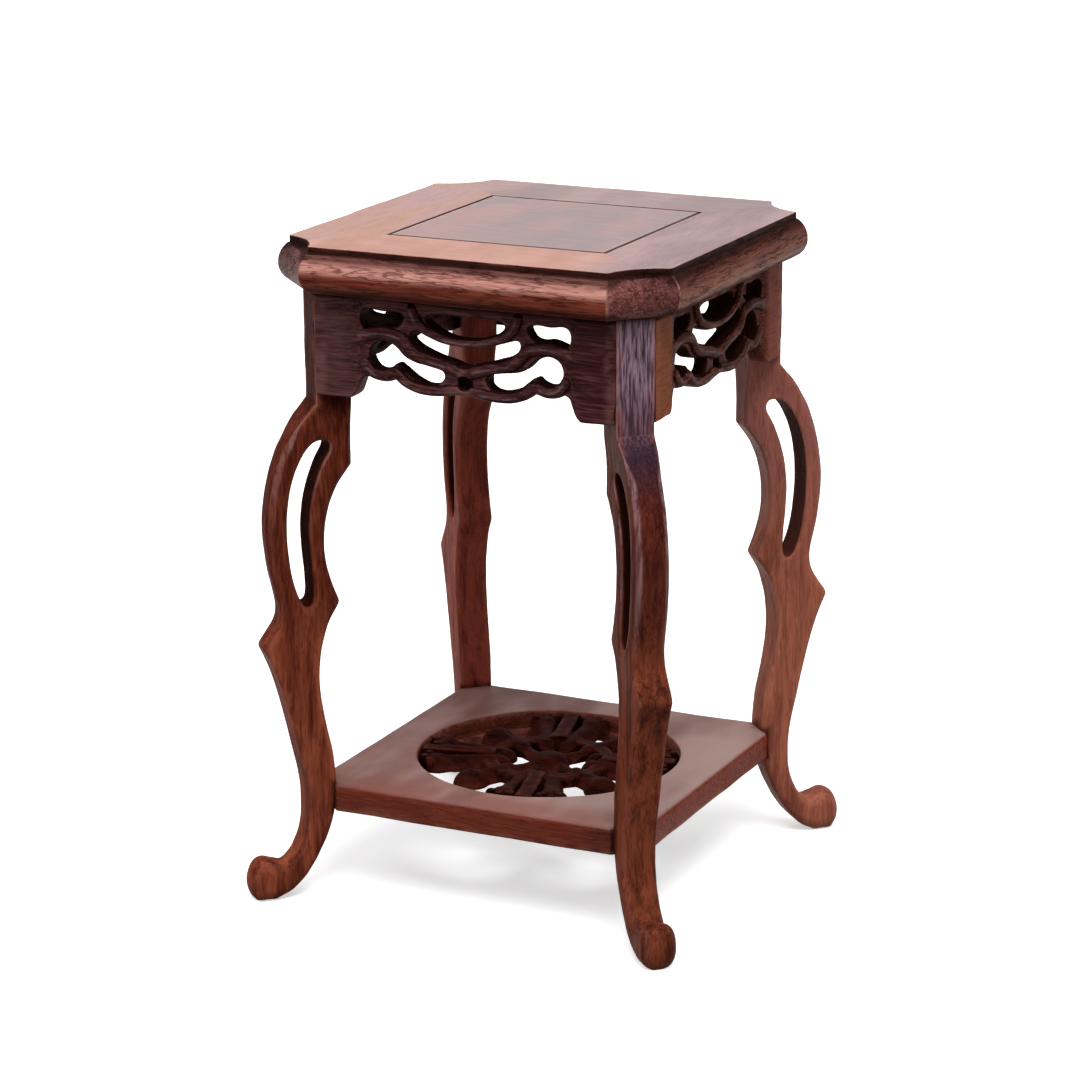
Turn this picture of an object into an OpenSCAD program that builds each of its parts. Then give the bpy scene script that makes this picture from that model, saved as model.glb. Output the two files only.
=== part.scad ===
// Carved side table: a small square display stand in dark wood, with a framed
// top, four open-work aprons, four cut-out legs and a shelf with a carved round.
// Origin at the middle of the footprint on the floor, +Z up, front towards -Y.

/* [Overall] */
// Height from the floor to the top face
table_height = 266; // [236:1:306]
// Width and depth of the top across its rounded edge
top_width = 170; // [164:1:190]

/* [Top] */
// Thickness of the top frame
top_thickness = 18.5; // [15:0.5:20]
// Cut across each corner of the top, measured along one side
top_corner_cut = 21; // [18:0.5:24]
// Distance from the widest point of the edge in to the small lip
lip_inset = 4.4; // [3.6:0.2:5]
// Height of the small lip that stands above the rounded edge
lip_height = 2.8; // [1.6:0.2:3.2]
// Depth of the hollow in the lip at each cut corner
lip_scoop = 3.2; // [2:0.2:4]
// Width of the opening in the frame that shows the panel
panel_width = 92.4; // [84:0.4:100]
// Thickness of the panel
panel_thickness = 8; // [7:0.5:9]
// Thickness of the tongue round the panel
panel_tongue = 3; // [2:0.5:4]
// Length of the tongue that the frame holds
panel_tongue_length = 4; // [3:0.5:5]
// Visible groove between the panel and the frame
panel_groove = 0.8; // [0.3:0.1:1]
// Width of the batten under the panel
batten_width = 14; // [12:1:20]

/* [Frame joints] */
// Width of the tenon across each mitre
mitre_tenon_width = 12; // [8:1:14]
// Thickness of the tenon across each mitre
mitre_tenon_thickness = 3.5; // [2.5:0.5:4]
// Height of the square tenon on top of each leg
leg_tenon_height = 6; // [4:0.5:6.5]
// Width of the square tenon on top of each leg
leg_tenon_width = 8; // [6:0.5:9]

/* [Aprons] */
// Height of an apron at its plain end blocks
apron_height = 40.5; // [38:0.5:46]
// Thickness of an apron
apron_thickness = 8; // [7:0.5:9]
// Overhang of the top in front of an apron
top_overhang = 10.5; // [9:0.5:12]
// Thickness of the tongue on each end of an apron
apron_tongue = 2.5; // [2:0.5:3]
// Height of the tongue along the top of an apron
apron_rib_height = 2.5; // [2:0.5:4]
// Depth of the ground cut away round the carved bands
relief_depth = 1; // [0.6:0.2:1.4]

/* [Legs] */
// Thickness of a leg at its head, between the aprons
leg_thickness = 15.5; // [14.5:0.5:17]
// Thickness of a leg below its shoulder
leg_waist = 14.2; // [12.6:0.2:14.4]
// Depth of the straight leg head, along the diagonal
leg_head_depth = 14.3; // [13:0.1:16]
// Length of the plain leg under the apron, before it swells
shoulder_drop = 4; // [2:0.5:8]

/* [Shelf] */
// Height from the floor to the top of the shelf
shelf_height = 47; // [40:1:60]
// Thickness of the shelf
shelf_thickness = 11; // [10:0.5:13]
// Distance from the edge of the top in to the edge of the shelf
shelf_setback = 13; // [12:0.5:14]
// Rounding along the upper edge of the shelf
shelf_round = 2.5; // [1.5:0.5:4]
// Depth that each shelf corner is let into its leg
housing_depth = 0.4; // [0.2:0.1:2]
// Diameter of the dowel in each shelf corner
dowel_diameter = 5; // [4:0.5:6]

/* [Carved round] */
// Diameter of the round opening in the shelf
round_diameter = 107; // [100:1:110]
// Thickness of the carved round
round_thickness = 6.5; // [5:0.5:7.5]
// Width of the ledge that the carved round rests on
ledge_width = 3.5; // [2.5:0.5:5]
// Turn of the carved round in its opening, in degrees
round_turn = 14; // [0:1:45]
// Radius of one lobe of a cloud head
lobe_radius = 7; // [6:0.2:7.4]
// Rise of the rounded top of a lobe
lobe_rise = 2.2; // [1.4:0.2:2.6]

/* [Fits] */
// Clearance round tenons and tongues
fit = 0.2; // [0.1:0.05:0.3]

/* [Hidden] */
$fn = 64;

rail_colour = "#8a5248";
panel_colour = "#7d5650";
apron_colour = "#43262a";
leg_colour = "#6b3326";
shelf_colour = "#75463f";

root2 = sqrt(2);
far = 400;
// How far a cutter or a tenon's root runs past the face that it starts from
through = 1;
root = 4;

// Heights of the main levels
top_underside = table_height - top_thickness;
apron_bottom = top_underside - apron_height;
shoulder_z = apron_bottom - shoulder_drop;
panel_bottom = table_height - panel_thickness;
shelf_bottom = shelf_height - shelf_thickness;
round_seat_z = shelf_height - round_thickness;

// Section of the rounded edge: a quarter round up to the widest point, then a slower
// round up to a narrow ledge under the lip
ledge = 0.7;
crest_share = 0.515;
edge_height = top_thickness - lip_height;
edge_rise = crest_share * edge_height;
edge_lower = edge_height - edge_rise;
edge_sag = lip_inset - ledge;
edge_upper = (edge_rise * edge_rise + edge_sag * edge_sag) / (2 * edge_sag);

// Plan positions
top_half = top_width / 2;
top_corner_plane = (top_width - top_corner_cut) / root2;

// Hollow of the lip at a cut corner, as an arc that leaves the lip plain at its ends
scoop_plain_end = 1;
lip_facet = top_corner_cut * root2 - 2 * lip_inset * tan(22.5);
scoop_half = lip_facet / 2 - scoop_plain_end;
scoop_radius = (scoop_half * scoop_half + lip_scoop * lip_scoop) / (2 * lip_scoop);
scoop_middle = top_corner_plane - lip_inset - lip_scoop + scoop_radius;

panel_half = panel_width / 2;
apron_face = top_half - top_overhang;
apron_back_face = apron_face - apron_thickness;
leg_head = apron_face * root2 - leg_thickness / 2;
apron_half = (leg_head - leg_thickness / 2) / root2;
shelf_half = top_half - shelf_setback;

// Mitre tenon: wood left next to the panel's groove, and reach past its middle
mitre_tenon_shoulder = 3;
mitre_tenon_reach = 10;
mitre_tenon_z = panel_bottom + fit;
mitre_tenon_inner = panel_half + panel_tongue_length + mitre_tenon_shoulder;
mitre_tenon_outer = mitre_tenon_inner + mitre_tenon_width;
mitre_tenon_end = mitre_tenon_inner + mitre_tenon_width / 2 + mitre_tenon_reach;

leg_tenon_middle = leg_head - leg_head_depth / 2;

// Tongues on the ends of an apron: wood left in front of them, beyond their ends
// in the leg, and below them
tongue_front_cover = 3.5;
tongue_end_cover = 3;
tongue_lift = 7;
tongue_front = apron_face - tongue_front_cover;
tongue_start = apron_half - apron_thickness - root;
tongue_end = leg_head * root2 - tongue_front - tongue_end_cover;
tongue_bottom = apron_bottom + tongue_lift;

// Rib along the top of an apron
rib_thickness = 3;
rib_setback = 24;
rib_middle = apron_face - apron_thickness / 2;
rib_half = apron_face - rib_setback;

// Batten under the panel, its sliding dovetail and its stub tenons
batten_rise = 2;
batten_drop = 6;
batten_stub_length = 5;
batten_stub_height = 3.6;
batten_stub_lift = 1.2;
batten_stub_shoulder = 2.5;
batten_stub_width = batten_width - 2 * batten_stub_shoulder;

// Outline of a leg as [distance out from the head's face, height] at the drawn
// height; the curves are stretched to the real shoulder height
drawn_shoulder = 203;
leg_outer_upper = [
  [0, 203], [8.2, 193.6], [14.3, 183.4], [18.6, 169.5], [20.3, 155],
  [19.4, 141], [17.1, 129], [15.4, 120.4], [16.4, 114], [21.3, 106.2],
  [21.9, 103.8]
];
leg_outer_lower = [
  [21.9, 103.8], [17.6, 93.5], [13.4, 79], [9.4, 62], [6.5, 48], [6.1, 35.5],
  [7.6, 26.5], [10.8, 19.4]
];
leg_toe = [
  [10.8, 19.4], [15.4, 15], [19.6, 16], [24.4, 17.2], [29.2, 14.6],
  [32, 9], [31, 3.6], [27.2, 0]
];
leg_inner_lower = [
  [19.6, 0], [14, 2.8], [8.8, 7.4], [4.4, 13.4], [0.4, 20.4], [-3.1, 28.6],
  [-5.2, 37.6], [-5.7, 48], [-4.8, 58.5], [-2.9, 68.5], [-0.9, 78.5], [0.3, 90.5],
  [-0.6, 103], [-3.6, 113.6], [-8.2, 121.2], [-8.3, 123.8]
];
leg_inner_upper = [
  [-8.3, 123.8], [-5.4, 132], [-3.5, 141], [-3.3, 151], [-4.9, 160.5],
  [-8.2, 169], [-14.3, 177.6]
];
leg_slot = [
  [-3.8, 188], [2.2, 186.4], [7.6, 178.2], [11, 167], [12.2, 153.5],
  [11.5, 140], [9.5, 129.5], [6.6, 122.6], [3.8, 121.6], [2.4, 124.8],
  [2.4, 132], [3.1, 141], [3.7, 153], [2.1, 166], [-1.7, 177.2], [-5.4, 184.4]
];

// Open-work of an apron as [distance from its middle, height above its lower
// edge] at the drawn size; one half, mirrored for the other
drawn_apron_half = 63.5;
drawn_apron_height = 40.5;
carved_half = 48;
apron_lower_edge = [
  [48.5, 0], [46.3, 2], [44.8, 5.4], [43.6, 8], [41.4, 9]
];
apron_small_lobe = [[41.4, 9], [38, 7.7], [33.6, 7.3], [29.6, 8.4]];
apron_large_lobe = [
  [29.6, 8.4], [25, 5.6], [19.4, 4.1], [13, 3.8], [6.6, 4.6], [0, 5.4]
];
cloud_curl = [
  [29.4, 14.8], [31.6, 13.2], [35, 12], [38.6, 13.2], [40.6, 17.2],
  [39, 21.4], [34.6, 23.2], [29.8, 21.4], [25.6, 17.6], [20.6, 15.6],
  [14.6, 15], [10.4, 13.9], [9, 11.4], [11.4, 8.6], [16.4, 7.9],
  [22, 9.8], [26.4, 12.8]
];
side_opening = [
  [26.2, 33.6], [30, 34.9], [35.4, 34.6], [41.4, 34.9], [43.8, 33.2],
  [43.8, 29.6], [42.4, 27.6], [39.6, 28.4], [35.4, 29.4], [31.2, 28.9],
  [28, 30]
];
middle_opening = [
  [6.6, 27.5], [12.6, 29.6], [16.4, 32.8], [14.2, 35], [7.4, 35.4]
];
middle_opening_bottom = 26.9;
middle_opening_top = 35.4;
ring_opening = [
  [5.8, 17.9], [12.4, 19.5], [18.6, 21.7], [22.6, 24.8], [21.8, 28],
  [15.2, 26.4], [8.4, 24.4]
];
ring_opening_bottom = 16.4;
ring_opening_top = 23.8;
knot_height = 10;
knot_radius = 2.8;
knot_depth = 5;

// Paths of the raised bands on one half, from the middle outwards
ring_band = [[0, 25.5], [8, 26.2], [14.8, 28.2], [19.8, 31.6], [22.4, 36.6]];
upper_band = [
  [0, 13.2], [8, 15.9], [16, 17.6], [21.6, 20], [25.6, 24.4], [30.4, 26],
  [36, 26.3], [41.6, 25.4], [47.6, 23.6]
];
lower_band = [
  [0, 7], [7, 6.2], [13.6, 5.6], [19.6, 6], [25, 7.8], [29.4, 11.2],
  [34.2, 9.8], [38.6, 10.6], [42, 14]
];
band_half_width = 1.3;

// A point of a curve that runs smoothly through p1 and p2
function curve_point(p0, p1, p2, p3, t) = 0.5 * (
  2 * p1 + (p2 - p0) * t
  + (2 * p0 - 5 * p1 + 4 * p2 - p3) * t * t
  + (3 * p1 - p0 - 3 * p2 + p3) * t * t * t
);

// A smooth curve through open points, without its last point
function open_curve(points, steps) = [
  for (i = [0 : len(points) - 2], s = [0 : steps - 1])
    curve_point(
      points[max(i - 1, 0)], points[i], points[i + 1],
      points[min(i + 2, len(points) - 1)], s / steps
    )
];

// A smooth closed curve through points
function closed_curve(points, steps) = let (n = len(points)) [
  for (i = [0 : n - 1], s = [0 : steps - 1])
    curve_point(
      points[(i + n - 1) % n], points[i], points[(i + 1) % n],
      points[(i + 2) % n], s / steps
    )
];

function mirrored(points) = [for (p = points) [-p[0], p[1]]];
function backwards(points) = [for (i = [len(points) - 1 : -1 : 0]) points[i]];

// A closed curve that is the same on both sides of the middle
function balanced_curve(bottom, side, top, steps) = closed_curve(
  concat([[0, bottom]], side, [[0, top]], backwards(mirrored(side))), steps
);

// Direction of travel at point i of a path
function heading(path, i) = let (
  ahead = path[min(i + 1, len(path) - 1)] - path[max(i - 1, 0)]
) ahead / norm(ahead);

// Outline of a band of constant width along a path
function band_outline(path, half_width) = let (
  sides = [for (i = [0 : len(path) - 1]) [-heading(path, i)[1], heading(path, i)[0]]]
) concat(
  [for (i = [0 : len(path) - 1]) path[i] + sides[i] * half_width],
  [for (i = [len(path) - 1 : -1 : 0]) path[i] - sides[i] * half_width]
);

// Leg outline points in real millimetres, as [radius, height]
function leg_place(p) = [leg_head + p[0], p[1] * shoulder_z / drawn_shoulder];

leg_steps = 4;
toe_reach = 32;
waist_run = 14;
waist_steps = 5;
leg_inner_curve = [for (p = open_curve(leg_inner_lower, leg_steps)) leg_place(p)];

// Radius of the leg's inner edge at a height
function inner_edge_at(z) = lookup(z, [for (p = leg_inner_curve) [p[1], p[0]]]);

// The shelf corner is let into the leg past the edge's outermost point there
seat_samples = 4;
shelf_seat = housing_depth + max([
  for (i = [0 : seat_samples])
    inner_edge_at(shelf_bottom + shelf_thickness * i / seat_samples)
]);
dowel_z = shelf_bottom + shelf_thickness / 2;
dowel_in_leg = 7.5;
dowel_in_shelf = 10;
dowel_fit = 0.15;
housing_reach = 20;
shelf_under_round = 1.2;

// Carved round, as distances from its middle: four arms that each end in a pair of
// lobes, four bulbs between them, a ring and a boss
arm_count = 4;
round_radius = round_diameter / 2;
carving_gap = 0.3;
carving_radius = round_radius - carving_gap;
carving_height = round_thickness - carving_gap;
knuckle_radius = 2.6;
knuckle_spread = 52;
knuckle_overlap = 1.8;
knuckle_centre = lobe_radius - knuckle_overlap;
lobe_centre = carving_radius - knuckle_centre - knuckle_radius;
arm_half_width = 3.4;
lobe_overlap = 0.8;
lobe_half_angle = asin((arm_half_width + lobe_radius - lobe_overlap) / lobe_centre);
ring_outer = 27;
ring_inner = 20.5;
lobe_neck = 5.4;
bulb_radius = 7.4;
bulb_centre = lobe_centre - 7.6;
bulb_neck = 5;
neck_drop = 0.9;
boss_radius = 9;
spoke_width = 6;
spoke_drop = 2;
ring_drop = 1.4;
boss_rise = 1.6;

// Section of the top between two opposite edges, half_width from the middle
module top_section(half_width) {
  translate([-(half_width - lip_inset), edge_lower])
    square([2 * (half_width - lip_inset), top_thickness - edge_lower]);
  translate([-(half_width - edge_lower), 0])
    square([2 * (half_width - edge_lower), edge_height]);
  for (side = [-1, 1]) {
    intersection() {
      translate([side * (half_width - edge_upper), edge_lower])
        circle(r = edge_upper);
      translate([-half_width, edge_lower])
        square([2 * half_width, edge_rise]);
    }
    intersection() {
      translate([side * (half_width - edge_lower), edge_lower])
        circle(r = edge_lower);
      translate([-half_width, 0])
        square([2 * half_width, edge_lower]);
    }
  }
}

module top_bar(half_width, angle) {
  rotate([0, 0, angle])
    rotate([90, 0, 0])
      linear_extrude(height = far, center = true)
        top_section(half_width);
}

// The whole top, with the same moulded edge on its eight sides and its lip hollowed
// back at the four cut corners
module top_block() {
  translate([0, 0, top_underside])
    difference() {
      intersection() {
        top_bar(top_half, 0);
        top_bar(top_half, 90);
        top_bar(top_corner_plane, 45);
        top_bar(top_corner_plane, 135);
      }
      for (corner = [45 : 90 : 315])
        rotate([0, 0, corner])
          translate([scoop_middle, 0, edge_height])
            cylinder(r = scoop_radius, h = lip_height + through);
    }
}

// Ground plan of one rail, from the panel opening out, mitred at both ends
module rail_plan() {
  polygon([
    [-panel_half, -panel_half], [panel_half, -panel_half],
    [top_width, -top_width], [-top_width, -top_width]
  ]);
}

// Tenon across the mitre at the right end of the front rail
module mitre_tenon(gap) {
  start = mitre_tenon_inner - root;
  translate([start, -mitre_tenon_outer - gap, mitre_tenon_z - gap])
    cube([
      mitre_tenon_end - start + gap,
      mitre_tenon_width + 2 * gap,
      mitre_tenon_thickness + 2 * gap
    ]);
}

// Square tenon on a leg head, with the leg's diagonal along +X
module leg_tenon(gap) {
  side = leg_tenon_width + 2 * gap;
  translate([leg_tenon_middle - side / 2, -side / 2, top_underside - through])
    cube([side, side, leg_tenon_height + through + gap]);
}

// Rib along the top of the front apron, held in the frame
module apron_rib(gap) {
  depth = rib_thickness + 2 * gap;
  translate([-rib_half - gap, -rib_middle - depth / 2, top_underside - through])
    cube([2 * (rib_half + gap), depth, apron_rib_height + through + gap]);
}

// Tongue round the panel, held in the frame
module panel_rim(gap) {
  side = panel_width + 2 * (panel_tongue_length + gap);
  translate([-side / 2, -side / 2, panel_bottom])
    cube([side, side, panel_tongue + gap]);
}

// Stub tenons on both ends of the batten
module batten_stubs(gap) {
  length = panel_width + 2 * (batten_stub_length + gap);
  width = batten_stub_width + 2 * gap;
  translate([-width / 2, -length / 2, panel_bottom - batten_drop + batten_stub_lift - gap])
    cube([width, length, batten_stub_height + 2 * gap]);
}

// Sliding dovetail along the top of the batten; the cutter runs right through
module batten_dovetail(gap) {
  neck = batten_width / 4 + gap;
  head = batten_width / 3 + gap;
  past = gap > 0 ? panel_tongue_length + through : 0;
  translate([0, panel_half + past, panel_bottom])
    rotate([90, 0, 0])
      linear_extrude(height = panel_width + 2 * past)
        polygon([
          [-neck, -through], [neck, -through], [neck, 0],
          [head, batten_rise + gap], [-head, batten_rise + gap], [-neck, 0]
        ]);
}

// Rails: the front and back ones carry the mitre tenons, the others the mortises

module rail_cuts() {
  panel_rim(fit);
  batten_stubs(fit);
  apron_rib(fit);
  for (corner = [-45, -135])
    rotate([0, 0, corner]) leg_tenon(fit);
}

module tenoned_rail() {
  color(rail_colour)
    difference() {
      union() {
        intersection() {
          top_block();
          linear_extrude(height = far) rail_plan();
        }
        mitre_tenon(0);
        mirror([1, 0, 0]) mitre_tenon(0);
      }
      rail_cuts();
    }
}

module mortised_rail() {
  color(rail_colour)
    difference() {
      intersection() {
        top_block();
        linear_extrude(height = far) rail_plan();
      }
      rail_cuts();
      rotate([0, 0, -90]) mitre_tenon(fit);
      mirror([1, 0, 0]) rotate([0, 0, -90]) mitre_tenon(fit);
    }
}

// Panel and batten

module top_panel() {
  face = panel_width - 2 * panel_groove;
  color(panel_colour)
    difference() {
      union() {
        panel_rim(0);
        translate([-face / 2, -face / 2, panel_bottom])
          cube([face, face, panel_thickness]);
      }
      batten_dovetail(fit);
    }
}

module panel_batten() {
  color(rail_colour)
    union() {
      translate([-batten_width / 2, -panel_half, panel_bottom - batten_drop])
        cube([batten_width, panel_width, batten_drop]);
      batten_stubs(0);
      batten_dovetail(0);
    }
}

// Aprons, drawn as the front one

function apron_place(p) = [
  p[0] * apron_half / drawn_apron_half,
  p[1] * apron_height / drawn_apron_height
];
function apron_places(points) = [for (p = points) apron_place(p)];

module both_halves() {
  children();
  mirror([1, 0]) children();
}

// Face outline: plain blocks at the ends and a lobed edge between them
module apron_outline() {
  lower = concat(
    open_curve(apron_lower_edge, 3),
    open_curve(apron_small_lobe, 3),
    open_curve(apron_large_lobe, 3)
  );
  middle = [[0, apron_large_lobe[len(apron_large_lobe) - 1][1]]];
  top = drawn_apron_height;
  polygon(apron_places(concat(
    [[drawn_apron_half, top], [drawn_apron_half, 0]],
    lower, middle, backwards(mirrored(lower)),
    [[-drawn_apron_half, 0], [-drawn_apron_half, top]]
  )));
}

module apron_openings() {
  both_halves() {
    polygon(apron_places(closed_curve(cloud_curl, 3)));
    polygon(apron_places(closed_curve(side_opening, 4)));
  }
  polygon(apron_places(balanced_curve(
    middle_opening_bottom, middle_opening, middle_opening_top, 4
  )));
  polygon(apron_places(balanced_curve(
    ring_opening_bottom, ring_opening, ring_opening_top, 4
  )));
}

// What stands proud of the ground: the end blocks and the carved bands
module apron_raised() {
  both_halves() {
    polygon(apron_places([
      [carved_half, 0], [drawn_apron_half, 0],
      [drawn_apron_half, drawn_apron_height], [carved_half, drawn_apron_height]
    ]));
    for (path = [ring_band, upper_band, lower_band])
      polygon(apron_places(band_outline(
        concat(open_curve(path, 3), [path[len(path) - 1]]), band_half_width
      )));
  }
}

// Tongue on the right end of the front apron, let into the leg's cheek
module apron_tongue(gap) {
  past = gap > 0 ? through : 0;
  translate([tongue_start, -tongue_front - gap, tongue_bottom - gap])
    cube([
      tongue_end - tongue_start + gap,
      apron_tongue + 2 * gap,
      top_underside - tongue_bottom + gap + past
    ]);
}

// Ground plan between the cheeks of two legs
module apron_plan() {
  polygon([
    [-apron_half, -apron_face], [apron_half, -apron_face],
    [apron_half - apron_thickness, -apron_back_face],
    [-apron_half + apron_thickness, -apron_back_face]
  ]);
}

module apron() {
  ground_thickness = apron_thickness - relief_depth;
  color(apron_colour)
    difference() {
      union() {
        intersection() {
          translate([0, -apron_back_face, apron_bottom])
            rotate([90, 0, 0])
              union() {
                linear_extrude(height = ground_thickness)
                  difference() {
                    apron_outline();
                    apron_openings();
                  }
                linear_extrude(height = apron_thickness)
                  difference() {
                    intersection() {
                      apron_outline();
                      apron_raised();
                    }
                    apron_openings();
                  }
              }
          linear_extrude(height = far) apron_plan();
        }
        apron_rib(0);
        apron_tongue(0);
        mirror([1, 0, 0]) apron_tongue(0);
      }
      translate([0, -apron_face + knot_depth, apron_bottom + apron_place([0, knot_height])[1]])
        rotate([90, 0, 0])
          cylinder(r = knot_radius, h = 2 * knot_depth);
    }
}

// Legs, drawn with the diagonal along +X

function leg_places(points) = [for (p = points) leg_place(p)];

module leg_outline() {
  inner_head = leg_head - leg_head_depth;
  polygon(concat(
    [[leg_head, top_underside]],
    leg_places(open_curve(leg_outer_upper, leg_steps)),
    leg_places(open_curve(leg_outer_lower, leg_steps)),
    leg_places(open_curve(leg_toe, leg_steps)),
    leg_places([leg_toe[len(leg_toe) - 1]]),
    leg_inner_curve,
    leg_places(open_curve(leg_inner_upper, leg_steps)),
    [
      [inner_head, leg_inner_upper[len(leg_inner_upper) - 1][1] * shoulder_z / drawn_shoulder],
      [inner_head, top_underside]
    ]
  ));
}

// Ground plan that rounds the toe across the board
module leg_plan() {
  waist_half = leg_waist / 2;
  head_half = leg_thickness / 2;
  translate([leg_head + toe_reach - waist_half, 0]) circle(r = waist_half);
  translate([0, -waist_half]) square([leg_head + toe_reach - waist_half, leg_waist]);
  translate([0, -head_half]) square([leg_head + waist_run, leg_thickness]);
}

// Thickness of the leg against its height: full at the head, then an easy curve
// down to the waist
module leg_breadth() {
  side = [
    for (i = [0 : waist_steps]) let (share = (1 + cos(180 * i / waist_steps)) / 2) [
      leg_waist / 2 + (leg_thickness - leg_waist) / 2 * share,
      shoulder_z - waist_run * i / waist_steps
    ]
  ];
  right = concat([[leg_thickness / 2, top_underside]], side, [[leg_waist / 2, 0]]);
  polygon(concat(right, backwards(mirrored(right))));
}

module dowel(radial_gap, end_gap) {
  translate([shelf_seat - dowel_in_shelf - end_gap, 0, dowel_z])
    rotate([0, 90, 0])
      cylinder(
        r = dowel_diameter / 2 + radial_gap,
        h = dowel_in_shelf + dowel_in_leg + 2 * end_gap
      );
}

module leg() {
  color(leg_colour)
    difference() {
      union() {
        intersection() {
          translate([0, leg_thickness / 2, 0])
            rotate([90, 0, 0])
              linear_extrude(height = leg_thickness)
                difference() {
                  leg_outline();
                  polygon(leg_places(closed_curve(leg_slot, leg_steps)));
                }
          rotate([90, 0, 90])
            linear_extrude(height = far) leg_breadth();
          linear_extrude(height = far) leg_plan();
        }
        leg_tenon(0);
      }
      // Housing for the shelf corner
      translate([shelf_seat - housing_reach, -leg_thickness, shelf_bottom])
        cube([housing_reach, 2 * leg_thickness, shelf_thickness + fit]);
      dowel(dowel_fit, dowel_fit);
      // Slots for the tongues of the two aprons
      rotate([0, 0, 45]) apron_tongue(fit);
      mirror([0, 1, 0]) rotate([0, 0, 45]) apron_tongue(fit);
    }
}

// Shelf

// Section of the shelf, rounded along its upper and lower edges
module shelf_section() {
  upper = shelf_half - shelf_round;
  lower = shelf_half - shelf_under_round;
  for (side = [-1, 1]) {
    translate([side * upper, shelf_thickness - shelf_round]) circle(r = shelf_round);
    translate([side * lower, shelf_under_round]) circle(r = shelf_under_round);
  }
  translate([-shelf_half, shelf_under_round])
    square([2 * shelf_half, shelf_thickness - shelf_round - shelf_under_round]);
  translate([-lower, 0])
    square([2 * lower, shelf_thickness - shelf_round]);
  translate([-upper, shelf_under_round])
    square([2 * upper, shelf_thickness - shelf_under_round]);
}

module shelf_board() {
  color(shelf_colour)
    difference() {
      intersection() {
        translate([0, 0, shelf_bottom])
          rotate([90, 0, 0])
            linear_extrude(height = far, center = true) shelf_section();
        translate([0, 0, shelf_bottom])
          rotate([90, 0, 90])
            linear_extrude(height = far, center = true) shelf_section();
        rotate([0, 0, 45])
          translate([-shelf_seat, -shelf_seat, shelf_bottom])
            cube([2 * shelf_seat, 2 * shelf_seat, shelf_thickness]);
      }
      translate([0, 0, round_seat_z])
        cylinder(r = round_radius, h = round_thickness + through);
      translate([0, 0, shelf_bottom - through])
        cylinder(r = round_radius - ledge_width, h = shelf_thickness);
      for (corner = [45 : 90 : 315])
        rotate([0, 0, corner]) dowel(dowel_fit, dowel_fit);
    }
}

// Carved round

// Section of a post or bar with a softly domed top
module domed_section(radius, height, rise) {
  dome = (radius * radius + rise * rise) / (2 * rise);
  intersection() {
    translate([-radius, 0]) square([2 * radius, height]);
    translate([0, height - dome]) circle(r = dome);
  }
}

module domed_post(radius, height, rise) {
  rotate_extrude()
    intersection() {
      domed_section(radius, height, rise);
      square([radius, height]);
    }
}

// A bar along +X with a domed top
module domed_bar(start, end, radius, height, rise) {
  translate([start, 0, 0])
    rotate([90, 0, 90])
      linear_extrude(height = end - start) domed_section(radius, height, rise);
}

module flat_bar(start, end, width, height) {
  translate([start, -width / 2, 0]) cube([end - start, width, height]);
}

// One lobe on its neck, with three small knuckles along its outer side
module cloud_lobe() {
  domed_bar(ring_inner + through, lobe_centre, lobe_neck, carving_height - neck_drop, lobe_rise);
  translate([lobe_centre, 0, 0]) {
    domed_post(lobe_radius, carving_height, lobe_rise);
    for (step = [-1 : 1])
      rotate([0, 0, step * knuckle_spread])
        translate([knuckle_centre, 0, 0])
          domed_post(knuckle_radius, carving_height - lobe_rise / 2, knuckle_radius / 2);
  }
}

module cloud_arm() {
  for (side = [-1, 1])
    rotate([0, 0, side * lobe_half_angle]) cloud_lobe();
  flat_bar(ring_inner + through, carving_radius - through, 2 * arm_half_width, carving_height);
}

module cloud_bulb() {
  translate([bulb_centre, 0, 0])
    domed_post(bulb_radius, carving_height, lobe_rise);
  domed_bar(ring_inner + through, bulb_centre, bulb_neck, carving_height - neck_drop, lobe_rise);
}

module shelf_medallion() {
  color(apron_colour)
    translate([0, 0, round_seat_z])
      rotate([0, 0, round_turn])
        union() {
          difference() {
            cylinder(r = ring_outer, h = carving_height - ring_drop);
            translate([0, 0, -through])
              cylinder(r = ring_inner, h = carving_height + 2 * through);
          }
          for (quarter = [0 : 360 / arm_count : 359]) {
            rotate([0, 0, quarter]) cloud_arm();
            rotate([0, 0, quarter + 180 / arm_count]) {
              cloud_bulb();
              flat_bar(0, ring_inner + through, spoke_width, carving_height - spoke_drop);
            }
          }
          domed_post(boss_radius, carving_height, boss_rise);
        }
}

module shelf_dowels() {
  color(leg_colour)
    for (corner = [45 : 90 : 315])
      rotate([0, 0, corner]) dowel(0, 0);
}

module around(quarter_turns) {
  rotate([0, 0, 90 * quarter_turns]) children();
}

top_panel();
panel_batten();
tenoned_rail();  // top_rail_front
around(1) mortised_rail();  // top_rail_right
around(2) tenoned_rail();  // top_rail_back
around(3) mortised_rail();  // top_rail_left
apron();  // apron_front
around(1) apron();  // apron_right
around(2) apron();  // apron_back
around(3) apron();  // apron_left
rotate([0, 0, 225]) leg();  // leg_front_left
rotate([0, 0, 315]) leg();  // leg_front_right
rotate([0, 0, 45]) leg();  // leg_back_right
rotate([0, 0, 135]) leg();  // leg_back_left
shelf_board();
shelf_medallion();
shelf_dowels();
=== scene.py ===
"""Looks of the carved side table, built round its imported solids.

Shapes are worked out in millimetres from the same sizes as the solids and become
metres when their meshes are made. +Z is up and the front looks towards -Y. Each
carved piece is a field of distances, negative inside, that is turned into a mesh.
"""

import bmesh
import bpy
import numpy as np
import openvdb
from mathutils import Matrix, Vector


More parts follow.
